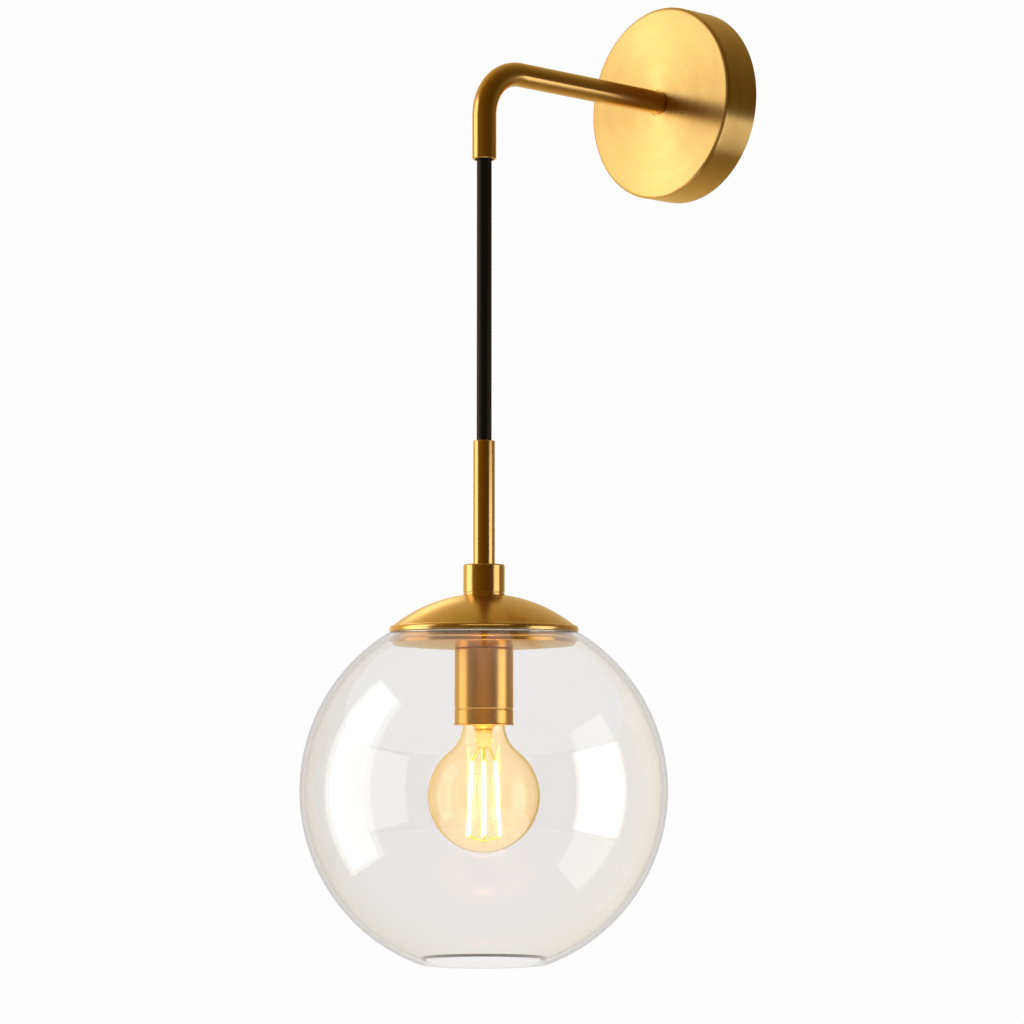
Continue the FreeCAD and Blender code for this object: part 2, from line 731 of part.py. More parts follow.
def lampholder_body():
    """Insulating body: a wiring hollow above, the screw shell's bore below."""
    r = holder_radius
    shell_seat = shell_radius + thread_gap
    neck_room = bulb_neck_radius + cap_shell_wall + 0.6
    body = turned((0, head_floor), (holder_head_radius, head_floor), (holder_head_radius, holder_top),
                  (r, holder_top), (r, holder_bottom), (neck_room, holder_bottom), (neck_room, shell_bottom),
                  (shell_seat, shell_bottom), (shell_seat, shell_top), (0, shell_top))
    for x in terminal_places():
        body = body.cut(Part.makeCylinder(lead_radius + slip_gap, head_floor - shell_top,
                                          FreeCAD.Vector(x, 0, shell_top)))
    return hung(body)


def terminal_places():
    """Where the two leads go down through the lampholder's floor."""
    return (-5.5, 5.5)


def lampholder_shell():
    """Screw shell: a brass sleeve with an inward lip at its top."""
    r, w = shell_radius, shell_wall
    return hung(turned((r, shell_bottom), (r, shell_top), (r - 3 * w, shell_top), (r - 3 * w, shell_top - w),
                       (r - w, shell_top - w), (r - w, shell_bottom)))


def contact_tongue():
    """Bowed brass spring across the top of the shell, which presses on the bulb's tip."""
    half, t = shell_radius - 3.2, tongue_thickness
    low = contact_top + tongue_gap
    high = shell_top - t
    strip = outline((-half, high), ((0, low), (half, high)), (half, high + t), ((0, low + t), (-half, high + t)))
    strip = strip.extrude(FreeCAD.Vector(0, tongue_width, 0))
    return hung(strip.translated(FreeCAD.Vector(0, -tongue_width / 2.0, 0)))


def holder_leads():
    """Live and neutral leads from the cord's end to the lampholder's terminals."""
    leads = []
    for x in terminal_places():
        side = math.copysign(1.0, x)
        turn_z = hub_nipple_bottom - lead_radius - 1.0
        leads.append(lead([(side * lead_spread, 0, hub_nipple_bottom), (side * lead_spread, 0, turn_z),
                           (x, 0, turn_z - 1.2), (x, 0, shell_top + 0.6)], [0.95, 1.2]))
    return hung(Part.makeCompound(leads))


# ---- bulb ----

def bulb_outline(wall):
    """Half outline of the bulb's glass, drawn in by a wall: a sphere that runs through a
    hollow round into the neck. Returns its lowest, sphere, fillet and neck points."""
    radius = bulb_radius - wall
    neck = bulb_neck_radius - wall
    fillet = bulb_neck_fillet + wall
    rise = math.sqrt((radius + fillet) ** 2 - (neck + fillet) ** 2)
    share = radius / (radius + fillet)
    join = ((neck + fillet) * share, bulb_z + rise * share)
    neck_low = (neck, bulb_z + rise)
    turn = math.atan2(rise, neck + fillet) / 2.0
    bow = (neck + fillet - fillet * math.cos(turn), bulb_z + rise - fillet * math.sin(turn))
    angle = (math.atan2(join[1] - bulb_z, join[0]) - math.pi / 2.0) / 2.0
    side = (radius * math.cos(angle), bulb_z + radius * math.sin(angle))
    return (0, bulb_z - radius), side, join, bow, neck_low, (neck, bulb_cap_bottom + 1.0)


def bulb_glass():
    """Thin blown envelope, open at the neck where the cap closes it."""
    low, side, join, bow, neck_low, top = bulb_outline(0)
    low_in, side_in, join_in, bow_in, neck_in, top_in = bulb_outline(bulb_wall)
    return hung(turned(low, (side, join), (bow, neck_low), top, top_in, neck_in, (bow_in, join_in),
                       (side_in, low_in)))


def bulb_cap():
    """Screw cap: a skirt round the neck of the glass and the threaded shell above it."""
    skirt = bulb_neck_radius + thread_gap + cap_shell_wall
    r, w = cap_shell_radius, cap_shell_wall
    skirt_top = bulb_cap_bottom + cap_skirt_length
    inner = bulb_neck_radius + thread_gap
    return hung(turned((skirt, bulb_cap_bottom), (skirt, skirt_top - 1.2), (r, skirt_top), (r, bulb_cap_top - 0.8),
                       (r - 0.8, bulb_cap_top), (r - 0.8 - w, bulb_cap_top), (r - w, bulb_cap_top - 0.8 - w / 2),
                       (r - w, skirt_top - w), (inner, skirt_top - 1.2 - w), (inner, bulb_cap_bottom)))


def bulb_insulator():
    """Glassy cone between the shell and the tip."""
    r = cap_shell_radius - 0.8 - cap_shell_wall
    top = bulb_cap_top + insulator_height
    return hung(turned((0, bulb_cap_top - 0.6), (r - thread_gap, bulb_cap_top - 0.6), (r - thread_gap, bulb_cap_top),
                       (cap_shell_radius - 0.9, bulb_cap_top), (insulator_top_radius, top), (0, top)))


def bulb_contact():
    """Domed solder tip."""
    low = bulb_cap_top + insulator_height
    return hung(turned((0, low), (contact_radius, low), crown(contact_radius, low, contact_top)))


def bulb_mount():
    """Glass stem that carries the filaments: a flare sealed in the neck, then a tube."""
    top = bulb_cap_bottom
    flare = min(mount_flare_radius, bulb_neck_radius - bulb_wall - thread_gap)
    low = bulb_z + mount_bottom
    tube = mount_tube_radius
    return hung(turned((0, top), (flare, top), ((tube + 1.2, top - 2.6), (tube, top - 6.0)),
                       (tube, low + tube), crown(tube, low + tube, low)))


def filament_ends(k):
    """Top and bottom end of a filament on the two rings that they span."""
    angle = math.radians(360.0 * k / filament_count + 15.0)
    high = bulb_z + filament_top
    spread = filament_ring_bottom - filament_ring_top
    low = high - math.sqrt(filament_length ** 2 - spread ** 2)
    return [FreeCAD.Vector(ring * math.cos(angle), ring * math.sin(angle), z)
            for ring, z in ((filament_ring_top, high), (filament_ring_bottom, low))]


def filaments():
    """Straight coated strips in a slightly spread cage."""
    rods = []
    for k in range(filament_count):
        high, low = filament_ends(k)
        rods.append(Part.makeCylinder(filament_radius, (high - low).Length, low, high - low))
    return hung(Part.makeCompound(rods))


def filament_supports():
    """Wires from the glass stem to the top of each filament, and the shallow star of wires
    that joins the filaments at the bottom round a middle rod."""
    foot = bulb_z + mount_bottom
    wires = []
    r = support_wire_radius
    centre_low = None
    for k in range(filament_count):
        high, low = filament_ends(k)
        inner = FreeCAD.Vector(high.x * 0.25, high.y * 0.25, foot + 2.0)
        top = high + (high - low).normalize() * support_wire_gap
        wires.append(Part.makeCylinder(r, (top - inner).Length, inner, top - inner))
        centre_low = FreeCAD.Vector(0, 0, low.z - 2.4)
        base = low - (high - low).normalize() * support_wire_gap
        wires.append(Part.makeCylinder(r, (base - centre_low).Length, centre_low, base - centre_low))
    wires.append(rod(2 * r, centre_low.z - r, foot + 1.0))
    frame = wires[-1]
    for wire in wires[:-1]:
        frame = frame.fuse(wire)
    mount = bulb_mount().translated(FreeCAD.Vector(0, -drop_y, 0))
    return hung(frame.cut(mount))


pieces = {
    "wall_bracket": wall_bracket, "canopy_cup": canopy_cup, "canopy_set_screws": canopy_set_screws,
    "earth_screw": earth_screw, "earth_ring": earth_ring, "terminal_block": terminal_block,
    "terminal_sleeves": terminal_sleeves, "terminal_screws": terminal_screws, "block_screw": block_screw,
    "live_lead": live_lead, "neutral_lead": neutral_lead, "earth_lead": earth_lead,
    "arm_tube": arm_tube, "arm_nipple": arm_nipple, "arm_lock_washer": arm_lock_washer,
    "arm_lock_nut": arm_lock_nut, "arm_cord": arm_cord, "outlet_bush": outlet_bush,
    "pendant_cord": pendant_cord, "stem_tube": stem_tube, "stem_bush": stem_bush,
    "stem_cord": stem_cord, "stem_collar": stem_collar, "hub_nipple": hub_nipple,
    "shade_cap": shade_cap, "cap_seal": cap_seal, "hub_spacer": hub_spacer,
    "gallery_plate": gallery_plate, "shade_spring_ring": shade_spring_ring, "glass_globe": glass_globe,
    "socket_cup": socket_cup, "cup_nut": cup_nut, "lampholder_body": lampholder_body,
    "lampholder_shell": lampholder_shell, "contact_tongue": contact_tongue, "holder_leads": holder_leads,
    "bulb_glass": bulb_glass, "bulb_cap": bulb_cap, "bulb_insulator": bulb_insulator,
    "bulb_contact": bulb_contact, "bulb_mount": bulb_mount, "filaments": filaments,
    "filament_supports": filament_supports,
}

os.makedirs("parts", exist_ok=True)
for name, make in pieces.items():
    make().exportStep("parts/" + name + ".step")
print("pieces:", len(pieces), " globe centre z", round(globe_z, 2), " cup bottom", round(cup_bottom, 2),
      " arm bend radius", arm_bend_radius)
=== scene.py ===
import json
import math

import bpy
import numpy as np
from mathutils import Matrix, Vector


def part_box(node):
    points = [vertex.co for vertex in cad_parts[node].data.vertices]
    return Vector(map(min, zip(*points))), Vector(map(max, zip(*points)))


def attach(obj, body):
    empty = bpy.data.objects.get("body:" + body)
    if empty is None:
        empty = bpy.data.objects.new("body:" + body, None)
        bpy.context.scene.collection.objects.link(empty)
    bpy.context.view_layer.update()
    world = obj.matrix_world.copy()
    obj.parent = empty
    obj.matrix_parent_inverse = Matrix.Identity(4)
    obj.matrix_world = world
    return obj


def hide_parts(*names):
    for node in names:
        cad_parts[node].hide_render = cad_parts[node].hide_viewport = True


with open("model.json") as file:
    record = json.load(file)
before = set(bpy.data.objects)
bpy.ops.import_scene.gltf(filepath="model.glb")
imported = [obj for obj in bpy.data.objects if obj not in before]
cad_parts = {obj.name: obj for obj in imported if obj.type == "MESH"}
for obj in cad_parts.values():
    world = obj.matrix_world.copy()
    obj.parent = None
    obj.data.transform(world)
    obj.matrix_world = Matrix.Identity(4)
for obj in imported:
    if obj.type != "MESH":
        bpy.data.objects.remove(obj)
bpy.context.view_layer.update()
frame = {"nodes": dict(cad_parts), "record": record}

# Lengths are in millimetres until a mesh is made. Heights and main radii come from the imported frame.
MM = 0.001
BODY_OF = {node: body for body, nodes in frame["record"]["behaviour"]["bodies"].items() for node in nodes}


def span(node):
    """A node's lowest and highest corner, in millimetres."""
    low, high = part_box(node)
    return np.array(low) / MM, np.array(high) / MM


# ---- sizes from the frame ----

canopy_low, canopy_high = span("canopy_cup")
canopy_radius = canopy_high[0]
canopy_depth = -canopy_low[1]
arm_low, arm_high = span("arm_tube")
arm_radius = arm_high[2]
outlet_z = arm_low[2]
drop_y = arm_low[1] + arm_radius
stem_low, stem_high = span("stem_tube")
stem_radius = stem_high[0]
stem_top = stem_high[2]
collar_low, collar_high = span("stem_collar")
collar_radius = collar_high[0]
collar_top = collar_high[2]
cap_top = collar_low[2]
gallery_low, gallery_high = span("gallery_plate")
gallery_radius = gallery_high[0]
gallery_floor, gallery_top = gallery_low[2], gallery_high[2]
globe_high = span("glass_globe")[1]
globe_radius = globe_high[0]
cup_low, cup_high = span("socket_cup")
cup_bottom, cup_top = cup_low[2], cup_high[2]
bulb_low, bulb_high = span("bulb_glass")
bulb_radius = bulb_high[0]
bulb_z = bulb_low[2] + bulb_radius
neck_top = bulb_high[2]
ring_low, ring_high = span("shade_spring_ring")
cap_shell_low, cap_shell_high = span("bulb_cap")
mount_low, mount_high = span("bulb_mount")

# ---- sizes that the frame's boxes don't tell ----

canopy_wall = 1.2
canopy_edge_round = 1.6
canopy_entry_radius = 4.2
canopy_rim_round = 0.3
canopy_inner_round = 1.0
canopy_line_start = 2.0      # where on the straight inside the outline starts, up from the foot
entry_ring_radius = 5.7      # shallow recess turned in the face, in which the arm's foot stands
entry_ring_depth = 0.5
entry_ring_round = 0.15
arm_wall = 1.0
arm_bend_radius = 20.0
arm_end_chamfer = 0.4
cord_radius = 3.1
cord_yarns = 12
cord_relief = 0.1
stem_wall = 0.7
stem_chamfer = 0.25
stem_slip = 0.05             # play of the stem in the collar
stem_line_start = 4.0        # the same in the stem
collar_chamfer = 0.5
collar_flange = 0.8
collar_groove = 0.4
collar_edge = 0.12
collar_top_edge = 0.15
groove_edge = 0.05
collar_line_start = 1.0      # and in the collar
nipple_hole = 4.05
dome_radius = 59.0
dome_wall = 1.0
cap_flat_radius = 9.0
cap_flat_round = 0.25
bead_ring_radius = 37.0
bead_radius = 1.7
bead_inset = 1.6             # from the bead's ring in to where the dome's inside ends
bead_arc = (88, -206)        # degrees, from the dome's outside round under to its inside
flat_margin = 0.4            # from the flat seat out to where the dome's arc begins
gallery_wall = 1.0
gallery_corner = 1.0
gallery_dish = 1.6
gallery_flat_margin = 0.5    # flat middle past the socket cup
gallery_foot_round = 0.8
gallery_rim_round = 0.3
gallery_inner_round = 0.5
gallery_step = 0.2           # the inside's corner above the dish's edge
spring_wire_radius = 0.9
spring_split = 7.0           # clear gap between the ring's ends
groove_play = 0.05           # room round the spring ring in its groove
groove_arc = (245, 115)      # degrees, from below round its inmost point to above
glass_wall = 1.8
top_opening_radius = 37.9
mouth_radius = 23.6
mouth_lip = 2.9              # the outside ends this much further out than the inside
lip_bulge = 0.45
cut_edge_round = 0.25
cup_radius = 12.0
cup_wall = 0.8
cup_lip = 0.35
cup_seam_rise = 6.5
cup_seam_depth = 0.25
cup_seam_round = 0.2
cup_shoulder_round = 0.8
cup_inner_round = 0.5
bulb_wall = 0.8
bulb_neck_radius = 8.6
bulb_neck_fillet = 14.0
stem_foot_radius = 3.2       # of the bulb's glass stem, below its flare
flare_round = 0.3
flare_shoulder = (1.0, 1.2)  # in from the flare's edge, and down from its top
flare_draw = ((1.2, 2.6), (0.4, 4.2), (0.0, 6.0))    # out from the foot's radius, and down
cap_shell_radius = 6.95
cap_shell_wall = 0.4
cap_skirt_length = 3.0
cap_skirt_slope = 1.2
cap_end_radius = 4.6         # where the shell meets the insulator
cap_end_step = 0.4
cap_skirt_round = 0.4
cap_shell_round = 0.3
thread_rows_low = 0.3        # the rows that carry the thread start this far above the skirt
thread_rows_high = 1.0       # and end this far below the shell's top
thread_fade = 1.5            # length over which the thread dies away at both ends
thread_end = 0.8             # plain length above the thread
thread_pitch = 2.82          # small-screw lamp thread
thread_height = 0.35
filament_radius = 0.55
filament_length = 30.0
filament_ring_top = 5.6
filament_ring_bottom = 7.4
filament_top = 14.0          # above the middle of the round glass
filament_count = 6
filament_phase = 15.0        # degrees
filament_tip = 0.02          # round ends, as a share of the strip's length
crisp = 0.1                  # radius of an edge that is only just broken

X, Y, Z = np.eye(3)


# ---- outlines ----

NEARLY_STRAIGHT = 0.02       # radians: a corner that turns by less stays a plain point
DEGREES_PER_STEP = 12        # of a corner's arc
ROOM_SHARE = 0.49            # a corner's foot takes up to this share of its shorter side
GUARD_SHARE = 0.4            # the point that keeps the flat flat stands this share of the radius off
LEAST_GUARD = 1e-3
LEAST_STEP = 1e-4            # points nearer to each other than this are one
ON_AXIS = 1e-6               # a ring smaller than this is one point


def arc(out, along, radius, start, end, count=24):
    """Points of a circle in the half plane (distance from the axis, height): middle plus radius
    times the cosine and sine of angles that run evenly from start to end, in degrees."""
    angle = np.radians(np.linspace(start, end, count))
    return np.stack([out + radius * np.cos(angle), along + radius * np.sin(angle)], axis=1)


def outline(*parts, closed=True):
    """One line through arcs and corners. A corner is (out, along, round): an arc of that radius
    touches both of its sides, from a foot at round / tan(half the corner's angle) on each, and
    one more point stands a little before and after, so that the flats shade flat. A corner that
    hardly turns stays a plain point."""
    points, rounds = [], []
    for part in parts:
        rows = np.atleast_2d(np.asarray(part, float))
        points.append(rows[:, :2])
        rounds.append(rows[:, 2] if rows.shape[1] == 3 else np.zeros(len(rows)))
    points, rounds = np.concatenate(points), np.concatenate(rounds)
    line = []
    for i, (point, radius) in enumerate(zip(points, rounds)):
        at_end = not closed and i in (0, len(points) - 1)
        if radius <= 0 or at_end:
            line.append(point[None])
            continue
        back, ahead = points[i - 1] - point, points[(i + 1) % len(points)] - point
        room = ROOM_SHARE * min(np.hypot(*back), np.hypot(*ahead))
        back, ahead = back / np.hypot(*back), ahead / np.hypot(*ahead)
        half = 0.5 * math.acos(np.clip(back @ ahead, -1, 1))
        if math.pi - 2 * half < NEARLY_STRAIGHT:
            line.append(point[None])
            continue
        foot = min(radius / math.tan(half), room)
        radius = foot * math.tan(half)
        middle = point + (back + ahead) / np.hypot(*(back + ahead)) * radius / math.sin(half)
        first, last = point + back * foot - middle, point + ahead * foot - middle
        turn = math.pi - 2 * half
        t = np.linspace(0, 1, max(4, int(math.degrees(turn) / DEGREES_PER_STEP)))[:, None]
        bend = (np.sin((1 - t) * turn) * first + np.sin(t * turn) * last) / math.sin(turn) + middle
        guard = min(GUARD_SHARE * radius, room - foot)
        ends = [point + back * (foot + guard), point + ahead * (foot + guard)]
        line += [ends[0][None], bend, ends[1][None]] if guard > LEAST_GUARD else [bend]
    line = np.concatenate(line)
    step = np.hypot(*(np.roll(line, -1, axis=0) - line).T)
    keep = step > LEAST_STEP
    keep[-1] = keep[-1] or not closed
    return line[keep]


# ---- surfaces on a grid of two parameters ----

def rings(middles, side_a, side_b, radii, sides=128, lift=None):
    """Grid of rings along a line: point(i, a) = middle i + (radius i + lift(i, a)) *
    (cos a * side_a i + sin a * side_b i). Returns the grid and each row's length so far."""
    angle = np.arange(sides) * 2 * np.pi / sides
    radius = np.broadcast_to(np.asarray(radii, float)[:, None], (len(radii), sides))
    if lift is not None:
        radius = radius + lift
    side_a, side_b = (np.broadcast_to(s, (len(radii), 3))[:, None] for s in (side_a, side_b))
    around = np.cos(angle)[None, :, None] * side_a + np.sin(angle)[None, :, None] * side_b
    grid = np.asarray(middles, float)[:, None] + radius[..., None] * around
    step = np.linalg.norm(np.diff(grid[:, 0], axis=0), axis=1)
    return grid, np.concatenate([[0], np.cumsum(step)])


def turned(line, sides=128, lift=None):
    """The outline turned once round the upright line that the lamp hangs on."""
    middles = np.stack([0 * line[:, 0], 0 * line[:, 0] + drop_y, line[:, 1]], axis=1)
    return rings(middles, X, Y, line[:, 0], sides, lift)


def faces_of(grid, closed):
    """Corner numbers of the grid's faces and the same corners' row and turn: quads between
    neighbouring rows, and triangles where a row shrinks to a point on the axis."""
    rows, sides = grid.shape[:2]
    pole = np.linalg.norm(grid - grid[:, :1], axis=2).max(axis=1) < ON_AXIS
    numbers = np.arange(rows * sides).reshape(rows, sides)
    numbers[pole] = numbers[pole][:, :1]
    row = np.arange(rows if closed else rows - 1)
    i, j = (g.ravel() for g in np.meshgrid(row, np.arange(sides), indexing="ij"))
    k = (i + 1) % rows
    corners = np.stack([np.stack([i, j], 1), np.stack([i, j + 1], 1),
                        np.stack([k, j + 1], 1), np.stack([k, j], 1)], 1)
    index = numbers[corners[..., 0], corners[..., 1] % sides]
    low, high = pole[i], pole[k]
    quads = ~low & ~high
    keep = [(quads, [0, 1, 2, 3]), (low & ~high, [0, 2, 3]), (high & ~low, [0, 1, 2])]
    return [(index[which][:, pick], corners[which][:, pick]) for which, pick in keep if which.any()]


SHARP_ANGLE = math.radians(32)


def piece(name, *surfaces):
    """One mesh from (grid, lengths, closed) surfaces. Its loops carry a UV map, the turn against
    millimetres along the outline, and its points a grain vector, (cos, sin of the turn,
    millimetres along), for brush marks that run round. Faces are turned outwards by the sign
    of the enclosed volume, a sixth of the sum of a . (b x c)."""
    points, grain, faces, uvs = [], [], [], []
    for grid, lengths, closed in surfaces:
        rows, sides = grid.shape[:2]
        base = sum(len(p) for p in points)
        flat = grid.reshape(-1, 3) * MM
        angle = np.tile(np.arange(sides) * 2 * np.pi / sides, rows)
        points.append(flat)
        grain.append(np.stack([np.cos(angle), np.sin(angle), np.repeat(lengths, sides)], 1))
        groups = faces_of(grid, closed)
        volume = 0.0
        for index, _ in groups:
            first, *rest = (flat[index[:, n]] for n in range(index.shape[1]))
            volume += sum(np.einsum("ij,ij->", first, np.cross(b, c)) for b, c in zip(rest, rest[1:]))
        for index, corner in groups:
            uv = np.stack([corner[..., 1] / sides, lengths[corner[..., 0]]], -1)
            order = slice(None, None, -1 if volume < 0 else 1)
            faces += (index[:, order] + base).tolist()
            uvs.append(uv[:, order].reshape(-1, 2))
    points, grain = np.concatenate(points), np.concatenate(grain)
    used, faces = compact(faces)
    mesh = bpy.data.meshes.new(name)
    mesh.from_pydata(points[used].tolist(), [], faces)
    mesh.uv_layers.new(name="turn").data.foreach_set("uv", np.concatenate(uvs).ravel())
    brushed = mesh.attributes.new("grain", "FLOAT_VECTOR", "POINT")
    brushed.data.foreach_set("vector", grain[used].ravel())
    mesh.polygons.foreach_set("use_smooth", np.ones(len(faces), bool))
    mesh.set_sharp_from_angle(angle=SHARP_ANGLE)
    made = bpy.data.objects.new(name, mesh)
    bpy.context.scene.collection.objects.link(made)
    return made


def compact(faces):
    """Drops the points that no face uses and renumbers the rest."""
    sizes = np.array([len(f) for f in faces])
    flat = np.array([number for f in faces for number in f])
    used, fresh = np.unique(flat, return_inverse=True)
    return used, [part.tolist() for part in np.split(fresh, np.cumsum(sizes)[:-1])]


def dress(made, node, material):
    """The piece takes its node's place and body, and gets its finish."""
    made.data.materials.append(material)
    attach(made, BODY_OF[node])
    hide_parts(node)
    return made


# ---- colours and nodes ----

def colour(hexadecimal):
    """sRGB hex to linear: c / 12.92 near black, else ((c + 0.055) / 1.055) ^ 2.4."""
    channels = [int(hexadecimal[i:i + 2], 16) / 255 for i in (1, 3, 5)]
    return (*(c / 12.92 if c <= 0.04045 else ((c + 0.055) / 1.055) ** 2.4 for c in channels), 1.0)


def add(tree, kind, inputs=None, **settings):
    """Adds a node with its settings. An input is a value, or an output socket to link."""
    node = tree.nodes.new(kind)
    for key, value in settings.items():
        setattr(node, key, value)
    for key, value in (inputs or {}).items():
        if isinstance(value, bpy.types.NodeSocket):
            tree.links.new(value, node.inputs[key])
        else:
            node.inputs[key].default_value = value
    return node


def stretch(tree, value, start, end, low=0.0, high=1.0):
    """The value's way from start to end, laid out from low to high, and held beyond both."""
    return add(tree, "ShaderNodeMapRange", {"Value": value, "From Min": start, "From Max": end,
                                            "To Min": low, "To Max": high}).outputs[0]


def material(name):
    """An empty material and its node tree."""
    made = bpy.data.materials.new(name)
    made.use_nodes = True
    made.node_tree.nodes.clear()
    return made, made.node_tree


NOISE_LOW, NOISE_HIGH = 0.3, 0.7     # nearly all of a noise's values lie between these


def shade(tree, vector, low, high, scale=1.0, detail=3.0):
    """Noise along a vector: its bare value, and the same spread from one colour to another."""
    noise = add(tree, "ShaderNodeTexNoise", {"Vector": vector, "Scale": scale, "Detail": detail})
    fine = noise.outputs["Fac"]
    return fine, between(tree, stretch(tree, fine, NOISE_LOW, NOISE_HIGH), low, high)


def around(tree, fine, middle, stray):
    """A value that strays from its middle by a share of it either way, with the noise."""
    return stretch(tree, fine, NOISE_LOW, NOISE_HIGH, middle * (1 - stray), middle * (1 + stray))


def between(tree, factor, low, high):
    """Colour ramp between two hex colours."""
    ramp = add(tree, "ShaderNodeValToRGB", {"Fac": factor})
    ramp.color_ramp.elements[0].color = colour(low)
    ramp.color_ramp.elements[1].color = colour(high)
    return ramp.outputs["Color"]


SPUN_SPREAD = 0.08           # share by which the roughness strays either way on turned brass
SOLID_SPREAD = 0.15          # the same on other finishes
STREAK_TURNS = 1.2           # streaks and clouds per unit of the turn's cosine and sine
CLOUD_TURNS = 0.9
CLOUD_PER_MM = 0.12
SPUN_RELIEF_MM = 0.02
CLOUD_SHARE = 0.5
QUARTER_TURN = 0.25          # turns a highlight's long side from along the lines to across them


def spun_brass(name, dark, light, roughness, line_mm, brush, anisotropy):
    """Brass finished on the lathe: fine lines run round the piece, so the light spreads across
    them in a fan. line_mm is the spacing of the lines, drawn a little coarser than real grit."""
    made, tree = material(name)
    grain = add(tree, "ShaderNodeAttribute", attribute_name="grain").outputs["Vector"]
    lines = add(tree, "ShaderNodeMapping", {
        "Vector": grain, "Scale": (STREAK_TURNS, STREAK_TURNS, 1 / line_mm)}).outputs[0]
    broad = add(tree, "ShaderNodeMapping", {
        "Vector": grain, "Scale": (CLOUD_TURNS, CLOUD_TURNS, CLOUD_PER_MM)}).outputs[0]
    fine, streaks = shade(tree, lines, dark, light, detail=4.0)
    _, clouds = shade(tree, broad, dark, light, detail=2.0)
    tone = add(tree, "ShaderNodeMix", {0: CLOUD_SHARE, "A": streaks, "B": clouds},
               data_type="RGBA").outputs[2]
    rough = around(tree, fine, roughness, SPUN_SPREAD)
    bump = add(tree, "ShaderNodeBump", {
        "Height": fine, "Strength": brush, "Distance": SPUN_RELIEF_MM * MM})
    round_it = add(tree, "ShaderNodeTangent", direction_type="UV_MAP", uv_map="turn").outputs[0]
    shader = add(tree, "ShaderNodeBsdfPrincipled", {
        "Base Color": tone, "Metallic": 1.0, "Roughness": rough, "Normal": bump.outputs[0],
        "Anisotropic": anisotropy, "Anisotropic Rotation": QUARTER_TURN, "Tangent": round_it})
    add(tree, "ShaderNodeOutputMaterial", {"Surface": shader.outputs[0]})
    return made


def solid_finish(name, dark, light, metallic, roughness, grain_mm, bump_mm, **sockets):
    """A finish on Object coordinates: two tones and a relief at one grain size."""
    made, tree = material(name)
    place = add(tree, "ShaderNodeTexCoord").outputs["Object"]
    fine, tone = shade(tree, place, dark, light, scale=1 / (grain_mm * MM), detail=3.0)
    rough = around(tree, fine, roughness, SOLID_SPREAD)
    bump = add(tree, "ShaderNodeBump", {"Height": fine, "Strength": 0.5, "Distance": bump_mm * MM})
    shader = add(tree, "ShaderNodeBsdfPrincipled", {
        "Base Color": tone, "Metallic": metallic, "Roughness": rough, "Normal": bump.outputs[0],
        **sockets})
    add(tree, "ShaderNodeOutputMaterial", {"Surface": shader.outputs[0]})
    return made


GLASS_IOR = 1.5              # soda-lime glass
WAVE_RELIEF_MM = 0.4
EDGE_FROM = 0.78             # Facing value from which the wall is seen edgeways and darkens


def blown_glass(name, tint, edge_tint, wave_mm, wave_strength, glow=None, glow_strength=0.0):
    """Clear blown glass: smooth, with a long slow wave left by blowing, and darker where the eye
    looks along the wall. Light from the lamps passes it straight, so what stands inside is lit."""
    made, tree = material(name)
    place = add(tree, "ShaderNodeTexCoord").outputs["Object"]
    wave = add(tree, "ShaderNodeTexNoise", {"Vector": place, "Scale": 1 / (wave_mm * MM), "Detail": 1.0})
    bump = add(tree, "ShaderNodeBump", {"Height": wave.outputs["Fac"], "Strength": wave_strength,
                                        "Distance": WAVE_RELIEF_MM * MM})
    edge = add(tree, "ShaderNodeLayerWeight", {"Blend": 0.5}).outputs["Facing"]
    body = between(tree, stretch(tree, edge, EDGE_FROM, 1.0), tint, edge_tint)
    sockets = {"Base Color": body, "Roughness": 0.0, "IOR": GLASS_IOR, "Transmission Weight": 1.0,
               "Normal": bump.outputs[0]}
    # Where glow is given, the glass gets a painted glow, standing in for the light inside it.
    if glow:
        sockets |= {"Emission Color": colour(glow), "Emission Strength": glow_strength}
    shader = add(tree, "ShaderNodeBsdfPrincipled", sockets)
    clear = add(tree, "ShaderNodeBsdfTransparent", {"Color": colour(tint)})
    ray = add(tree, "ShaderNodeLightPath").outputs["Is Shadow Ray"]
    both = add(tree, "ShaderNodeMixShader", {0: ray, 1: shader.outputs[0], 2: clear.outputs[0]})
    add(tree, "ShaderNodeOutputMaterial", {"Surface": both.outputs[0]})
    return made


PATCH_MM = 1.5
HEAT_TONES = ("#ffb84a", "#ffd890")
HEAT_STRENGTH = 90.0


def hot_filament(name):
    """Coated strip at white heat: pale warm light, a little stronger in patches."""
    made, tree = material(name)
    place = add(tree, "ShaderNodeTexCoord").outputs["Object"]
    _, tone = shade(tree, place, *HEAT_TONES, scale=1 / (PATCH_MM * MM))
    shader = add(tree, "ShaderNodeBsdfPrincipled", {
        "Base Color": tone, "Roughness": 0.5, "Emission Color": tone, "Emission Strength": HEAT_STRENGTH})
    add(tree, "ShaderNodeOutputMaterial", {"Surface": shader.outputs[0]})
    return made


# ---- finishes ----

# Brass: dark and light tone, roughness, spacing of the lines in mm, their relief, and how far the
# lines spread the light across them.
# Faced on the lathe: rings of fine lines, which throw pale fans of light out from the middle.
faced_brass = spun_brass("faced_satin_brass", "#debc78", "#f4d28c", 0.33, 0.9, 0.08, 0.9)
# Spun and satined: soft highlights with dark gold between them, drawn out round the dome.
satin_brass = spun_brass("spun_satin_brass", "#e6c07a", "#eec680", 0.25, 0.35, 0.015, 0.6)
# Drawn tube: clean light and dark stripes along its length.
drawn_brass = spun_brass("drawn_brass_tube", "#e6be78", "#eac47e", 0.22, 0.5, 0.01, 0.3)
# Drawn and satined: the same stripes, blurred and warmer.
cup_brass = spun_brass("drawn_satin_brass", "#e0b262", "#e8ba6a", 0.30, 0.4, 0.01, 0.5)
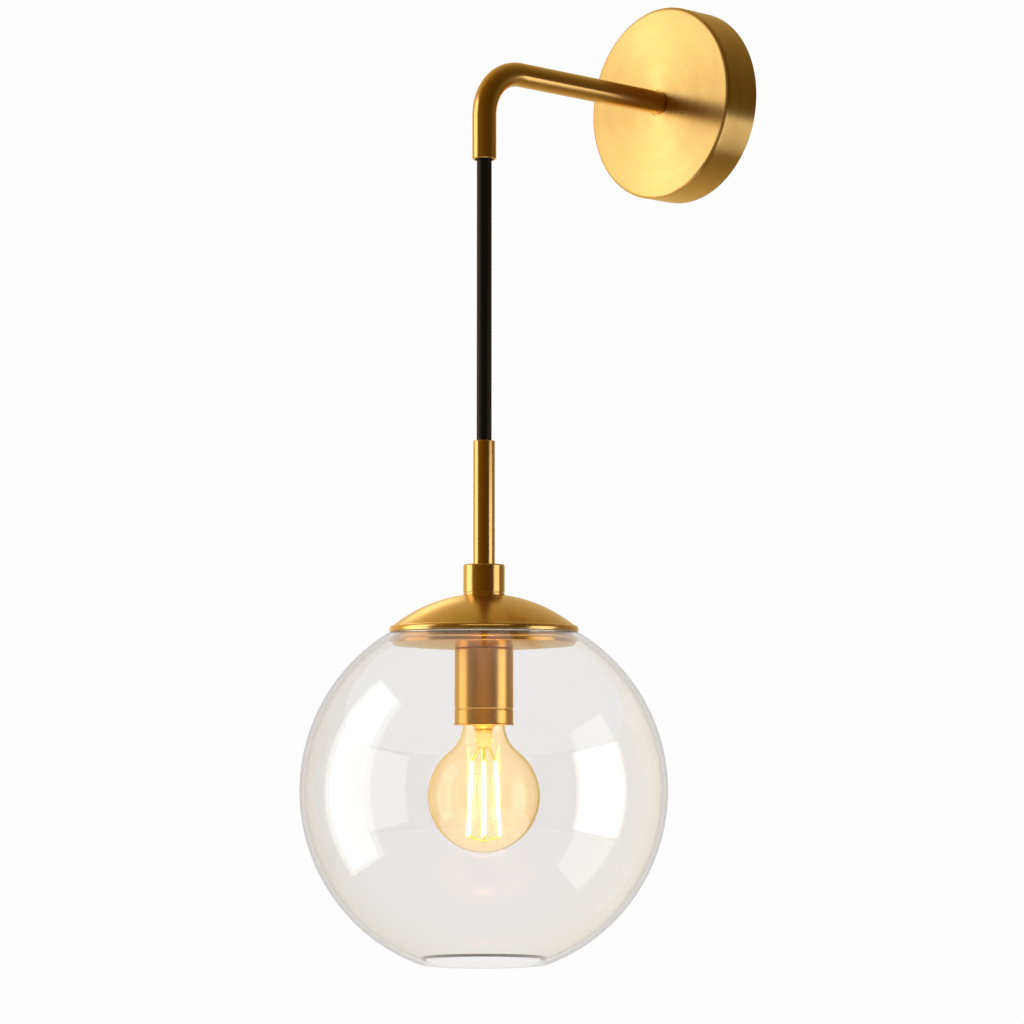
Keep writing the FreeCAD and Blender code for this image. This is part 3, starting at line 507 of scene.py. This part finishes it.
# Dipped bright: a deep red gold with a clear mirror.
bright_brass = spun_brass("bright_dipped_brass", "#d09c50", "#dca85a", 0.22, 0.4, 0.01, 0.3)

# Others: dark and light tone, metallic, roughness, grain in mm, and relief in mm.
# Cut on a screw machine: bright pale gold that glints on the edges.
turned_brass = solid_finish("turned_brass", "#dcb878", "#e8c486", 1.0, 0.25, 0.6, 0.01)
# Passivated zinc: a cool, even, slightly clouded grey.
zinc_steel = solid_finish("zinc_plated_steel", "#9a9ca0", "#b4b6b8", 1.0, 0.38, 2.5, 0.02)
# Moulded without paint: a dull, milky off-white.
polyamide = solid_finish("moulded_polyamide", "#dcd8cc", "#e6e2d8", 0.0, 0.5, 1.2, 0.01)
# Extruded insulation: smooth, evenly coloured, with a waxy shine.
brown_lead = solid_finish("brown_lead_insulation", "#4a2812", "#5a3218", 0.0, 0.4, 1.0, 0.01)
blue_lead = solid_finish("blue_lead_insulation", "#1c4a90", "#2456a4", 0.0, 0.4, 1.0, 0.01)
# Two colours run together in patches, drawn coarser than the real stripes.
green_lead = solid_finish("green_yellow_lead_insulation", "#2f7a28", "#d8c820", 0.0, 0.4, 3.0, 0.01)
# Silicone rubber: softer and duller than the other leads.
silicone_lead = solid_finish("silicone_lead_insulation", "#c8c0ae", "#d8d0c0", 0.0, 0.5, 1.0, 0.01)
# Moulded nylon: a soft black with a faint grain.
black_nylon = solid_finish("moulded_black_nylon", "#141414", "#1c1c1c", 0.0, 0.45, 0.8, 0.01)
# Braided polyester: deep black that takes almost no shine, broken up by its yarns.
black_braid = solid_finish("braided_black_cord", "#040404", "#0a0a0a", 0.0, 0.45, 0.25, 0.04,
                           **{"Specular IOR Level": 0.35})
# Fired without glaze: chalky and fine-grained.
white_ceramic = solid_finish("unglazed_white_ceramic", "#dcd6c8", "#e8e2d6", 0.0, 0.6, 0.7, 0.02)
# Plated on rolled brass: a warm, smooth silver.
nickel_plate = solid_finish("nickel_plate", "#b0aca4", "#c4c0b8", 1.0, 0.2, 1.5, 0.01)
# Black glass, cast: glossy and almost without colour.
black_vitrite = solid_finish("black_vitrite", "#0a0a0c", "#141416", 0.0, 0.15, 2.0, 0.01)
# A drop of tin that has set: grey and slightly wrinkled.
solder = solid_finish("solder_tip", "#98989a", "#b0b0b2", 1.0, 0.35, 0.8, 0.03)
# Moulded silicone: cloudy, with some light coming through.
seal_silicone = solid_finish("clear_silicone", "#d8d4c8", "#e4e0d6", 0.0, 0.35, 1.0, 0.01,
                             **{"Transmission Weight": 0.6})

# Glass: tint, tint seen along the wall, length of the wave in mm, its strength, and glow.
# Blown soda glass: clear, with an outline a little darker than what stands behind it.
clear_glass = blown_glass("clear_blown_glass", "#fbfbfb", "#6e6c6a", 45.0, 0.015)
# Thin bulb glass, tinted amber: it looks lit from inside. The glow stands for the light in it.
bulb_glass = blown_glass("bulb_glass", "#fff7e2", "#fdeecb", 20.0, 0.03, "#ffca70", 0.06)
# Thick drawn glass, deep yellow: its glow is painted, standing in for the filaments' light gathered in it.
mount_glass_painted_glow = blown_glass("bulb_stem_glass", "#fff0c8", "#f0b840", 6.0, 0.1, "#ffc43c", 0.12)
# Coated strip, lit: too bright to show any surface.
filament_heat = hot_filament("lit_filament")
# Gilt wire beside the strips: bright gold, with a painted warm glow that keeps it lit also where no lamp
# reaches.
gilt_wire_painted_glow = solid_finish("gilt_support_wire", "#e8b850", "#f4cc6c", 1.0, 0.25, 0.8, 0.005,
                         **{"Emission Color": colour("#ffc040"), "Emission Strength": 0.35})


# ---- wall fixture ----

def canopy():
    """Spun cup: the outline in (distance from the axis, distance from the wall), turned round
    the arm's axis, with a shallow recess turned for the arm's foot."""
    r, d, w = canopy_radius, canopy_depth, canopy_wall
    recess = d - entry_ring_depth
    line = outline((r - w, canopy_line_start, 0), (r - w, 0, canopy_rim_round), (r, 0, canopy_rim_round),
                   (r, d, canopy_edge_round), (entry_ring_radius, d, entry_ring_round),
                   (entry_ring_radius, recess, crisp), (canopy_entry_radius, recess, crisp),
                   (canopy_entry_radius, d - w, crisp), (r - w, d - w, canopy_inner_round))
    middles = np.stack([0 * line[:, 0], -line[:, 1], 0 * line[:, 0]], axis=1)
    grid, lengths = rings(middles, X, Z, line[:, 0], sides=192)
    return dress(piece("canopy", (grid, lengths, True)), "canopy_cup", faced_brass)


def arm():
    """Bent tube: rings carried along a straight line, a quarter circle and a straight line, out
    along the outside and back along the bore. A ring's plane holds X and the path's normal."""
    straight_rows, bend_rows, drop_rows = 60, 40, 20
    bend_y, bend_z = drop_y + arm_bend_radius, -arm_bend_radius
    quarter = np.radians(np.linspace(90, 180, bend_rows))
    straight = np.linspace(entry_ring_depth - canopy_depth, bend_y, straight_rows)
    drop = np.linspace(bend_z, outlet_z, drop_rows)
    bend = [bend_y + arm_bend_radius * np.cos(quarter), bend_z + arm_bend_radius * np.sin(quarter)]
    path = np.concatenate([np.stack([straight, np.zeros(straight_rows)], 1)[:-1], np.stack(bend, 1),
                           np.stack([np.full(drop_rows, drop_y), drop], 1)[1:]])
    tangent = np.gradient(path, axis=0)
    tangent[:straight_rows] = (-1, 0)
    tangent[-drop_rows:] = (0, -1)
    tangent /= np.linalg.norm(tangent, axis=1)[:, None]
    c = arm_end_chamfer
    run = np.concatenate([path[:1], path[:1] + tangent[:1] * c, path[1:-1],
                          path[-1:] - tangent[-1:] * c, path[-1:]])
    heading = np.concatenate([tangent[:1], tangent, tangent[-1:]])
    outside = np.concatenate([[arm_radius - c], np.full(len(run) - 2, arm_radius), [arm_radius - c]])
    there = np.concatenate([run, run[::-1]])
    heading = np.concatenate([heading, heading[::-1]])
    radius = np.concatenate([outside, np.full(len(run), arm_radius - arm_wall)])
    middles = np.stack([0 * there[:, 0], there[:, 0], there[:, 1]], 1)
    normal = np.stack([0 * heading[:, 0], -heading[:, 1], heading[:, 0]], 1)
    grid, lengths = rings(middles, X, normal, radius, sides=96)
    return dress(piece("arm", (grid, lengths, True)), "arm_tube", drawn_brass)


# ---- cord ----

ROUTE_STEPS = 24


def cord_route(points):
    """Points along a NURBS spline through control points in metres."""
    curve = bpy.data.curves.new("cord_route", "CURVE")
    curve.dimensions = "3D"
    spline = curve.splines.new("NURBS")
    spline.points.add(len(points) - 1)
    for control, point in zip(spline.points, points):
        control.co = (*point, 1.0)
    spline.order_u = 3
    spline.use_endpoint_u = True
    spline.resolution_u = ROUTE_STEPS
    holder = bpy.data.objects.new("cord_route", curve)
    mesh = bpy.data.meshes.new_from_object(holder)
    path = [tuple(v.co) for v in mesh.vertices]
    bpy.data.objects.remove(holder)
    bpy.data.curves.remove(curve)
    bpy.data.meshes.remove(mesh)
    return path


def cord():
    """Braided cord, straight and taut between its two bushes. Its half round ends turn in them.
    Two sets of yarns wind against each other: with p and q = half the yarns * the turn, plus and
    minus pi * the height over the pitch, the surface is lifted by relief * (|sin p| - 1) where
    sin p * sin q is above 0, and by relief * (|sin q| - 1) elsewhere."""
    sides, rows, controls = 96, 620, 4
    control = [(0, drop_y * MM, z * MM) for z in np.linspace(outlet_z, stem_top, controls)]
    path = cord_route(control)
    ball = np.radians(np.linspace(90, 4, 10))
    body = np.linspace(outlet_z, stem_top, rows)
    high = np.concatenate([outlet_z + cord_radius * np.sin(ball), body[1:-1],
                           (stem_top - cord_radius * np.sin(ball))[::-1]])
    radius = np.concatenate([cord_radius * np.cos(ball), np.full(rows - 2, cord_radius),
                             (cord_radius * np.cos(ball))[::-1]])
    angle = np.arange(sides) * 2 * np.pi / sides
    pitch = 2 * np.pi * cord_radius / cord_yarns
    p = cord_yarns / 2 * angle[None] + np.pi * high[:, None] / pitch
    q = cord_yarns / 2 * angle[None] - np.pi * high[:, None] / pitch
    over = np.where(np.sin(p) * np.sin(q) > 0, np.abs(np.sin(p)), np.abs(np.sin(q)))
    lift = cord_relief * (over - 1.0) * (radius / cord_radius)[:, None]
    lift[radius < ON_AXIS] = 0
    grid, lengths = turned(np.stack([radius, high], 1), sides, lift)
    made = dress(piece("cord", (grid, lengths, False)), "pendant_cord", black_braid)
    return made


# ---- stem, collar, cap ----

def stem():
    """Drawn tube with a small chamfer at its mouth."""
    bore, c = stem_radius - stem_wall, stem_chamfer
    low = stem_low[2]
    line = outline((bore, low + stem_line_start, 0), (bore, low, crisp), (stem_radius, low, crisp),
                   (stem_radius, stem_top - c, crisp), (stem_radius - c, stem_top, crisp),
                   (bore, stem_top, crisp))
    return dress(piece("stem", (*turned(line, 96), True)), "stem_tube", drawn_brass)


def collar():
    """Turned collar with a flange and a groove at its foot and a chamfer at its top."""
    r, c, groove = collar_radius, collar_chamfer, collar_radius - collar_groove
    flange = cap_top + collar_flange
    over_groove = flange + collar_groove
    seat = stem_low[2]
    stem_hole = stem_radius + stem_slip
    line = outline((nipple_hole, cap_top + collar_line_start, 0), (nipple_hole, cap_top, crisp),
                   (r, cap_top, collar_edge), (r, flange, collar_edge), (groove, flange, groove_edge),
                   (groove, over_groove, groove_edge), (r, over_groove, collar_edge),
                   (r, collar_top - c, collar_top_edge), (r - c, collar_top, collar_top_edge),
                   (stem_hole, collar_top, crisp), (stem_hole, seat, crisp), (nipple_hole, seat, crisp))
    return dress(piece("collar", (*turned(line, 160), True)), "stem_collar", satin_brass)


dome_middle = cap_top - math.sqrt(dome_radius ** 2 - cap_flat_radius ** 2)
bead_z = dome_middle + math.sqrt(dome_radius ** 2 - bead_ring_radius ** 2) - bead_radius


def cap():
    """Spun dome, a sphere's crown from the flat seat to the bead, with the edge rolled into a
    bead below it. The inside is the same crown, one wall smaller."""
    inside = dome_radius - dome_wall
    tilt = [math.degrees(math.acos(out / radius)) for out, radius in (
        (cap_flat_radius + flat_margin, dome_radius), (bead_ring_radius, dome_radius),
        (bead_ring_radius - bead_inset, inside), (cap_flat_radius, inside))]
    outer = arc(0, dome_middle, dome_radius, tilt[0], tilt[1], 60)
    inner = arc(0, dome_middle, inside, tilt[2], tilt[3], 50)
    bead = arc(bead_ring_radius, bead_z, bead_radius, *bead_arc, 48)
    line = outline((nipple_hole, cap_top, crisp), (cap_flat_radius, cap_top, cap_flat_round), outer, bead,
                   inner, (nipple_hole, inner[-1][1], crisp))
    return dress(piece("cap", (*turned(line, 192), True)), "shade_cap", satin_brass)


def gallery():
    """Dished plate with an upright wall, and round it a groove for the spring ring. The dish
    rises by the square of the way from its flat middle to its corner."""
    r, w, c = gallery_radius, gallery_wall, gallery_corner
    corner_z = gallery_floor + gallery_dish
    flat = cup_radius + gallery_flat_margin
    out = np.linspace(flat, r - c, 30)
    rise = gallery_dish * ((out - flat) / (r - c - flat)) ** 2
    under = np.stack([out, gallery_floor + rise], 1)
    over = np.stack([out, gallery_floor + rise + w], 1)[::-1]
    spring_z = (ring_low[2] + ring_high[2]) / 2
    groove = arc(ring_high[0] - spring_wire_radius, spring_z, spring_wire_radius + groove_play,
                 *groove_arc, 12)
    line = outline((nipple_hole, gallery_floor, crisp), under, (r, corner_z - crisp, gallery_foot_round),
                   groove, (r, gallery_top, gallery_rim_round), (r - w, gallery_top, gallery_rim_round),
                   (r - w, corner_z + w + gallery_step, gallery_inner_round), over,
                   (nipple_hole, gallery_floor + w, crisp))
    return dress(piece("gallery", (*turned(line, 192), True)), "gallery_plate", bright_brass)


def spring_ring():
    """Split ring of round wire: a circle carried along a larger circle, from one side of the
    split to the other, with half round ends."""
    ring = ring_high[0] - spring_wire_radius
    spring_z = (ring_low[2] + ring_high[2]) / 2
    half = math.asin((spring_split / 2 + spring_wire_radius) / ring)
    rows, ball = 180, np.radians(np.linspace(90, 10, 6))
    at = np.linspace(np.pi / 2 + half, np.pi * 5 / 2 - half, rows)
    ends = spring_wire_radius * np.sin(ball) / ring
    at = np.concatenate([at[0] - ends, at, (at[-1] + ends)[::-1]])
    radius = spring_wire_radius * np.concatenate([np.cos(ball), np.ones(rows), np.cos(ball)[::-1]])
    radial = np.stack([np.cos(at), np.sin(at), 0 * at], 1)
    middles = ring * radial + np.array([0, drop_y, spring_z])
    grid, lengths = rings(middles, radial, Z, radius, sides=24)
    return dress(piece("spring_ring", (grid, lengths, False)), "shade_spring_ring", bright_brass)


# ---- globe ----

glass_inside = globe_radius - glass_wall
opening_tilt = math.acos(top_opening_radius / glass_inside)
globe_z = globe_high[2] - globe_radius * math.sin(opening_tilt)


def globe():
    """Blown sphere with a wall of one thickness. Above it is cut at right angles to the wall,
    and below the mouth's edge is fire-rounded: a bow of a given rise between the two walls,
    rise * sin(pi * the share of the way across)."""
    lip = mouth_radius + mouth_lip
    high = math.degrees(opening_tilt)
    low_out = -math.degrees(math.acos(lip / globe_radius))
    low_in = -math.degrees(math.acos(mouth_radius / glass_inside))
    outer = arc(0, globe_z, globe_radius, high, low_out, 150)[1:]
    inner = arc(0, globe_z, glass_inside, low_in, high, 150)[:-1]
    start, end = outer[-1], inner[0]
    share = np.linspace(0, 1, 12)[1:-1, None]
    lean = np.array([end[1] - start[1], start[0] - end[0]]) / np.hypot(*(end - start))
    rim = start + (end - start) * share - lean * lip_bulge * np.sin(np.pi * share)
    top_out = arc(0, globe_z, globe_radius, high, high, 1)[0]
    top_in = arc(0, globe_z, glass_inside, high, high, 1)[0]
    line = outline((*top_in, cut_edge_round), (*top_out, cut_edge_round), outer, rim, inner)
    return dress(piece("globe", (*turned(line, 224), True)), "glass_globe", clear_glass)


# ---- socket cup ----

def cup():
    """Drawn cup: a flat top with the nipple's hole, a rolled seam low down and a small lip."""
    r, w, s = cup_radius, cup_wall, cup_seam_depth
    seam = cup_bottom + cup_seam_rise
    lip = arc(r, cup_bottom + cup_lip, cup_lip, -90, 90, 10)
    line = outline((nipple_hole, cup_top, crisp), (nipple_hole, cup_top - w, crisp),
                   (r - w, cup_top - w, cup_inner_round), (r - w, cup_bottom, crisp), lip,
                   (r, seam - 2 * s, cup_seam_round), (r - s, seam - s / 2, crisp),
                   (r - s, seam + s / 2, crisp), (r, seam + 2 * s, cup_seam_round),
                   (r, cup_top, cup_shoulder_round))
    return dress(piece("cup", (*turned(line, 160), True)), "socket_cup", cup_brass)


# ---- bulb ----

def bulb_line(wall):
    """Half outline of the envelope: a sphere, a hollow round that touches it and the neck."""
    radius, neck, fillet = bulb_radius - wall, bulb_neck_radius - wall, bulb_neck_fillet + wall
    rise = math.sqrt((radius + fillet) ** 2 - (neck + fillet) ** 2)
    tilt = math.degrees(math.atan2(rise, neck + fillet))
    sphere = arc(0, bulb_z, radius, -90, tilt, 90)
    hollow = arc(neck + fillet, bulb_z + rise, fillet, 180 + tilt, 180, 24)[1:]
    return np.concatenate([sphere, hollow])


def bulb_envelope():
    """Thin blown envelope: its outline runs up the outside, over the neck's edge and back down
    one wall further in."""
    outer, inner = bulb_line(0), bulb_line(bulb_wall)[::-1]
    outer[0, 0] = inner[-1, 0] = 0
    neck_edge = [[bulb_neck_radius, neck_top], [bulb_neck_radius - bulb_wall, neck_top]]
    line = np.concatenate([outer, neck_edge, inner])
    return dress(piece("bulb_envelope", (*turned(line, 128), False)), "bulb_glass", bulb_glass)


def bulb_stem():
    """Glass stem that carries the filaments: a flare in the neck that draws in to a tube, with
    a half round foot."""
    top, low, flare, foot = mount_high[2], mount_low[2], mount_high[0], stem_foot_radius
    line = [(0, top), (flare - flare_round, top), (flare, top - flare_round),
            (flare - flare_shoulder[0], top - flare_shoulder[1])]
    line += [(foot + out, top - down) for out, down in flare_draw]
    t = np.radians(np.linspace(0, 90, 12))
    end = np.stack([foot * np.cos(t), low + foot - foot * np.sin(t)], 1)
    end[-1, 0] = 0
    return dress(piece("bulb_stem", (*turned(np.concatenate([line, end]), 64), False)), "bulb_mount",
                 mount_glass_painted_glow)


def screw_cap():
    """Thin rolled shell with a round thread: lift = thread_height * cos(turn - 2 pi * z / pitch),
    which fades out towards the skirt and the top."""
    low, high, w = cap_shell_low[2], cap_shell_high[2], cap_shell_wall
    skirt = cap_shell_high[0]
    skirt_top = low + cap_skirt_length
    r = cap_shell_radius - thread_height
    rows, sides = 90, 96
    climb = np.linspace(skirt_top + thread_rows_low, high - thread_rows_high, rows)
    thread = np.stack([np.full(rows, r), climb], 1)
    outside = outline((skirt, low, crisp), (skirt, skirt_top - cap_skirt_slope, cap_skirt_round),
                      (r, skirt_top, cap_shell_round), thread, (r - cap_end_step, high, cap_shell_round),
                      (cap_end_radius, high, 0), closed=False)
    inside = (outside - [w, 0])[::-1]
    inside[:, 1] = np.minimum(inside[:, 1], high - w)
    line = np.concatenate([outside, inside])
    angle = np.arange(sides) * 2 * np.pi / sides
    start_in = np.clip((line[:, 1] - skirt_top) / thread_fade, 0, 1)
    fade = start_in * np.clip((high - thread_end - line[:, 1]) / thread_fade, 0, 1)
    wave = np.cos(angle[None] - 2 * np.pi * line[:, 1:] / thread_pitch)
    grid, lengths = turned(line, sides, thread_height * fade[:, None] * wave)
    return dress(piece("screw_cap", (grid, lengths, True)), "bulb_cap", nickel_plate)


def filament_strips():
    """Six coated strips in a slightly spread cage, each a thin rod with round ends."""
    high = bulb_z + filament_top
    spread = filament_ring_bottom - filament_ring_top
    low = high - math.sqrt(filament_length ** 2 - spread ** 2)
    rows, ball, tip = 12, np.radians(np.linspace(90, 10, 5)), filament_tip
    share = np.concatenate([-tip * np.sin(ball), np.linspace(0, 1, rows), (1 + tip * np.sin(ball))[::-1]])
    radius = filament_radius * np.concatenate([np.cos(ball), np.ones(rows), np.cos(ball)[::-1]])
    strips = []
    for turn in np.radians(filament_phase + 360 / filament_count * np.arange(filament_count)):
        across = np.array([math.cos(turn), math.sin(turn), 0])
        top = filament_ring_top * across + [0, drop_y, high]
        foot = filament_ring_bottom * across + [0, drop_y, low]
        side = np.cross(across, Z)
        middles = top + (foot - top) * share[:, None] * (1 - tip) + (foot - top) * tip / 2
        grid, lengths = rings(middles, side, across, radius, sides=16)
        strips.append((grid, lengths, False))
    return dress(piece("filament_strips", *strips), "filaments", filament_heat)


outer_brass = [canopy(), arm()]
cord()
outer_brass += [stem(), collar()]
dome = cap()
outer_brass.append(dome)
gallery()
spring_ring()
globe_glass = globe()
cup()
bulb_envelope()
bulb_stem()
screw_cap()
filament_strips()

# ---- carried-over nodes ----

NODES_IN = {
    zinc_steel: ["wall_bracket", "canopy_set_screws", "earth_screw", "earth_ring", "terminal_screws",
                 "block_screw", "arm_lock_washer"],
    turned_brass: ["terminal_sleeves", "arm_nipple", "arm_lock_nut", "hub_nipple", "hub_spacer", "cup_nut",
                   "lampholder_shell", "contact_tongue"],
    polyamide: ["terminal_block"],
    brown_lead: ["live_lead"],
    blue_lead: ["neutral_lead"],
    green_lead: ["earth_lead"],
    silicone_lead: ["holder_leads"],
    black_braid: ["arm_cord", "stem_cord"],
    black_nylon: ["outlet_bush", "stem_bush"],
    seal_silicone: ["cap_seal"],
    white_ceramic: ["lampholder_body"],
    gilt_wire_painted_glow: ["filament_supports"],
    black_vitrite: ["bulb_insulator"],
    solder: ["bulb_contact"],
}
for finish, nodes in NODES_IN.items():
    for node in nodes:
        carried = frame["nodes"][node]
        carried.data.materials.clear()
        carried.data.materials.append(finish)


# ---- camera ----

CAMERA_PLACE = Vector((916.6, -936.8, -278.5)) * MM
CAMERA_AZIMUTH = math.radians(47.76)
CAMERA_PITCH = math.radians(4.36)
FOCAL_PIXELS = 3000.0
IMAGE_PIXELS = 1024.0
SENSOR = 36.0

lens = bpy.data.cameras.new("camera")
lens.sensor_width = SENSOR
lens.lens = FOCAL_PIXELS * SENSOR / IMAGE_PIXELS
lens.clip_end = 50
eye = bpy.data.objects.new("camera", lens)
bpy.context.scene.collection.objects.link(eye)
forward = Vector((-math.sin(CAMERA_AZIMUTH) * math.cos(CAMERA_PITCH),
                  math.cos(CAMERA_AZIMUTH) * math.cos(CAMERA_PITCH), math.sin(CAMERA_PITCH)))
eye.location = CAMERA_PLACE
eye.rotation_euler = forward.to_track_quat("-Z", "Y").to_euler()
bpy.context.scene.camera = eye


# ---- light ----

def soft_box(name, bearing, distance, width, height, rise, radiance, tint, lit):
    """Rectangular lamp that faces the line through the globe's middle. bearing is in degrees from
    the camera's side of the globe, to the right where it is positive. Its power is radiance *
    pi * area. Where lit isn't None, it lights those pieces alone, and isn't seen through glass."""
    middle = Vector((0, drop_y, globe_z)) * MM
    turn = CAMERA_AZIMUTH + math.radians(bearing)
    place = middle + Vector((math.sin(turn) * distance, -math.cos(turn) * distance, rise))
    lamp = bpy.data.lights.new(name, "AREA")
    lamp.shape = "RECTANGLE"
    lamp.size, lamp.size_y = width, height
    lamp.energy = radiance * math.pi * width * height
    lamp.color = colour(tint)[:3]
    made = bpy.data.objects.new(name, lamp)
    made.location = place
    made.rotation_euler = (middle + Vector((0, 0, rise)) - place).to_track_quat("-Z", "Y").to_euler()
    made.visible_camera = False
    if lit:
        made.visible_transmission = False
        only = bpy.data.collections.new(name)
        for shown in lit:
            only.objects.link(shown)
        made.light_linking.receiver_collection = only
    bpy.context.scene.collection.objects.link(made)


# Name, bearing in degrees, then distance, width, height and rise in metres, radiance, tint, lit pieces.
# Lamps that light only some pieces stand a little off the others, because a ray that meets two
# lamps in one place counts only one of them.
LAMPS = (
    ("left_soft_box", -91, 0.7, 0.52, 1.2, 0.14, 1.15, "#fffcf6", None),
    ("left_brass_box", -91, 0.69, 0.51, 1.18, 0.14, 0.32, "#fffcf6", outer_brass),
    ("right_soft_box", 75.5, 0.5, 0.33, 0.38, 0.0, 1.5, "#fffaf2", None),
    ("left_glint", -90, 0.68, 0.36, 1.12, 0.14, 2.6, "#fffaf2", [globe_glass]),
    ("right_glint", 72, 0.49, 0.30, 0.36, 0.0, 2.6, "#fffaf2", [globe_glass]),
    ("dome_sheen", -164, 0.6, 0.2, 0.2, 0.42, 1.2, "#ffe8b8", [dome]),
    ("bead_sheen", 4, 0.6, 0.7, 0.16, 0.55, 2.2, "#fff2d0", [dome]),
)
for lamp_row in LAMPS:
    soft_box(*lamp_row)


# The room that polished metal mirrors, from the camera's side to behind the lamp: place on the
# way, and linear light. Its dim part is warm wood and cloth.
ROOM = ((0.0, (0.12, 0.065, 0.006)), (0.3, (0.15, 0.085, 0.010)), (0.45, (0.26, 0.16, 0.03)),
        (0.68, (0.48, 0.34, 0.12)), (0.84, (0.62, 0.46, 0.20)), (1.0, (0.85, 0.70, 0.40)))
SIDES = (1.35, 0.44)                         # how bright the room is on the left and on the right
BULB_GLOW = (0.34, 0.15, 0.0, 1.0)           # the bulb's own light, thrown back inside the globe
GLOW_REACH = (-1.0, -0.8)                    # where on the way forward it fades out
GLASS_ROOM = (0.80, 0.77, 0.75, 1.0)         # what polished glass mirrors behind the lamp: pale grey
PANE_DIM, PANE_FULL_AT = 0.08, 0.8           # its strength at the camera's side, and where it is whole
MATT_ROOM = (0.5, 0.5, 0.5, 1.0)             # what lights matt surfaces
SEEN_THROUGH = (0.955, 0.94, 0.93, 1.0)      # the backdrop through glass
PAPER = (0.99, 0.985, 0.99, 1.0)             # the backdrop itself
ONCE = 0.5                                   # a ray's count is above this after one meeting
THROUGH_ONE_WALL = 2.5                       # a wall of glass counts two: one in, one out
THROUGH_AND_BACK = 3.5                       # in through the globe's wall and out again


def reckon(tree, first, operation, second):
    """One step of arithmetic, or a comparison that gives 1 where it holds and else 0."""
    return add(tree, "ShaderNodeMath", {0: first, 1: second}, operation=operation).outputs[0]


def shine(tree, light, strength=1.0):
    """Light from all round, of one colour or of a socket's colours."""
    return add(tree, "ShaderNodeBackground", {"Color": light, "Strength": strength}).outputs[0]


def studio():
    """White to the camera, a little less through glass, soft grey to matt surfaces. Rays mirrored
    by metal see a warm room and rays mirrored by glass a neutral one, each bright behind the lamp
    and dim on the camera's side, by the direction's share of the way forward."""
    world = bpy.data.worlds.new("studio")
    bpy.context.scene.world = world
    world.use_nodes = True
    world.cycles.sampling_method = "NONE"
    tree = world.node_tree
    tree.nodes.clear()
    toward = add(tree, "ShaderNodeTexCoord").outputs["Generated"]
    ahead = Vector((forward.x, forward.y, 0)).normalized()
    across = Vector((math.cos(CAMERA_AZIMUTH), math.sin(CAMERA_AZIMUTH), 0))
    share, right = (add(tree, "ShaderNodeVectorMath", {0: toward, 1: way},
                        operation="DOT_PRODUCT").outputs["Value"] for way in (ahead, across))
    walls = add(tree, "ShaderNodeValToRGB", {"Fac": stretch(tree, share, -1.0, 1.0)})
    stops = walls.color_ramp.elements
    stops[0].position, stops[0].color = ROOM[0][0], (*ROOM[0][1], 1)
    stops[1].position, stops[1].color = ROOM[-1][0], (*ROOM[-1][1], 1)
    for place, light in ROOM[1:-1]:
        stops.new(place).color = (*light, 1)
    ray = add(tree, "ShaderNodeLightPath").outputs
    mirrored = reckon(tree, ray["Glossy Depth"], "GREATER_THAN", ONCE)
    matt = reckon(tree, ray["Diffuse Depth"], "GREATER_THAN", ONCE)
    inside = reckon(tree, ray["Transmission Depth"], "GREATER_THAN", THROUGH_AND_BACK)
    shallow = reckon(tree, ray["Transmission Depth"], "LESS_THAN", THROUGH_ONE_WALL)
    sharp = reckon(tree, ray["Is Singular Ray"], "MULTIPLY", shallow)
    clear = reckon(tree, sharp, "MULTIPLY", mirrored)
    near = stretch(tree, share, *GLOW_REACH, 1.0, 0.0)
    glow = shine(tree, BULB_GLOW, reckon(tree, inside, "MULTIPLY", near))
    room = shine(tree, walls.outputs["Color"], stretch(tree, right, -1.0, 1.0, *SIDES))
    room = add(tree, "ShaderNodeAddShader", {0: room, 1: glow}).outputs[0]
    pane = shine(tree, GLASS_ROOM, stretch(tree, share, -1.0, PANE_FULL_AT, PANE_DIM, 1.0))
    seen = shine(tree, SEEN_THROUGH)
    for chosen, light in ((mirrored, room), (matt, shine(tree, MATT_ROOM)), (clear, pane),
                          (ray["Is Camera Ray"], shine(tree, PAPER))):
        seen = add(tree, "ShaderNodeMixShader", {0: chosen, 1: seen, 2: light}).outputs[0]
    add(tree, "ShaderNodeOutputWorld", {"Surface": seen})


studio()
bpy.context.scene.view_settings.view_transform = "Standard"


GLARE_FROM, GLARE_MOST = 3.0, 16.0           # light that starts a glare, and the most that counts
GLARE_STRENGTH, GLARE_SIZE = 0.45, 0.3
GLARE_TINT = "#ffd890"


def lens_glow():
    """The soft warm glow that a lens gives round the filaments, and round nothing dimmer."""
    scene = bpy.context.scene
    scene.use_nodes = True
    tree = scene.node_tree
    tree.nodes.clear()
    taken = add(tree, "CompositorNodeRLayers").outputs["Image"]
    glow = add(tree, "CompositorNodeGlare", {
        "Image": taken, "Threshold": GLARE_FROM, "Clamp": True, "Maximum": GLARE_MOST,
        "Strength": GLARE_STRENGTH, "Tint": colour(GLARE_TINT), "Size": GLARE_SIZE}, glare_type="BLOOM")
    add(tree, "CompositorNodeComposite", {"Image": glow.outputs["Image"]})


lens_glow()


# ---- floor ----

FLOOR_Z = -1500.0
FLOOR_RADIUS = 3000.0
FLOOR_THICK = 5.0
FLOOR_GLOW = 0.48            # keeps it pale from above, where the lamps don't reach it


def floor():
    """Pale disc well below the lamp, out from its middle to the rim and back underneath."""
    under = FLOOR_Z - FLOOR_THICK
    line = np.array([[0, FLOOR_Z], [FLOOR_RADIUS, FLOOR_Z], [FLOOR_RADIUS, under], [0, under]])
    made = piece("floor", (*turned(line, 96), False))
    # Matt paint, rolled: nearly white, with broad faint clouds.
    painted = solid_finish("pale_floor", "#ecebe9", "#f0efed", 0.0, 0.7, 400.0, 0.0,
                           **{"Emission Color": colour("#fbfaf9"), "Emission Strength": FLOOR_GLOW})
    made.data.materials.append(painted)
    made.visible_glossy = False


floor()
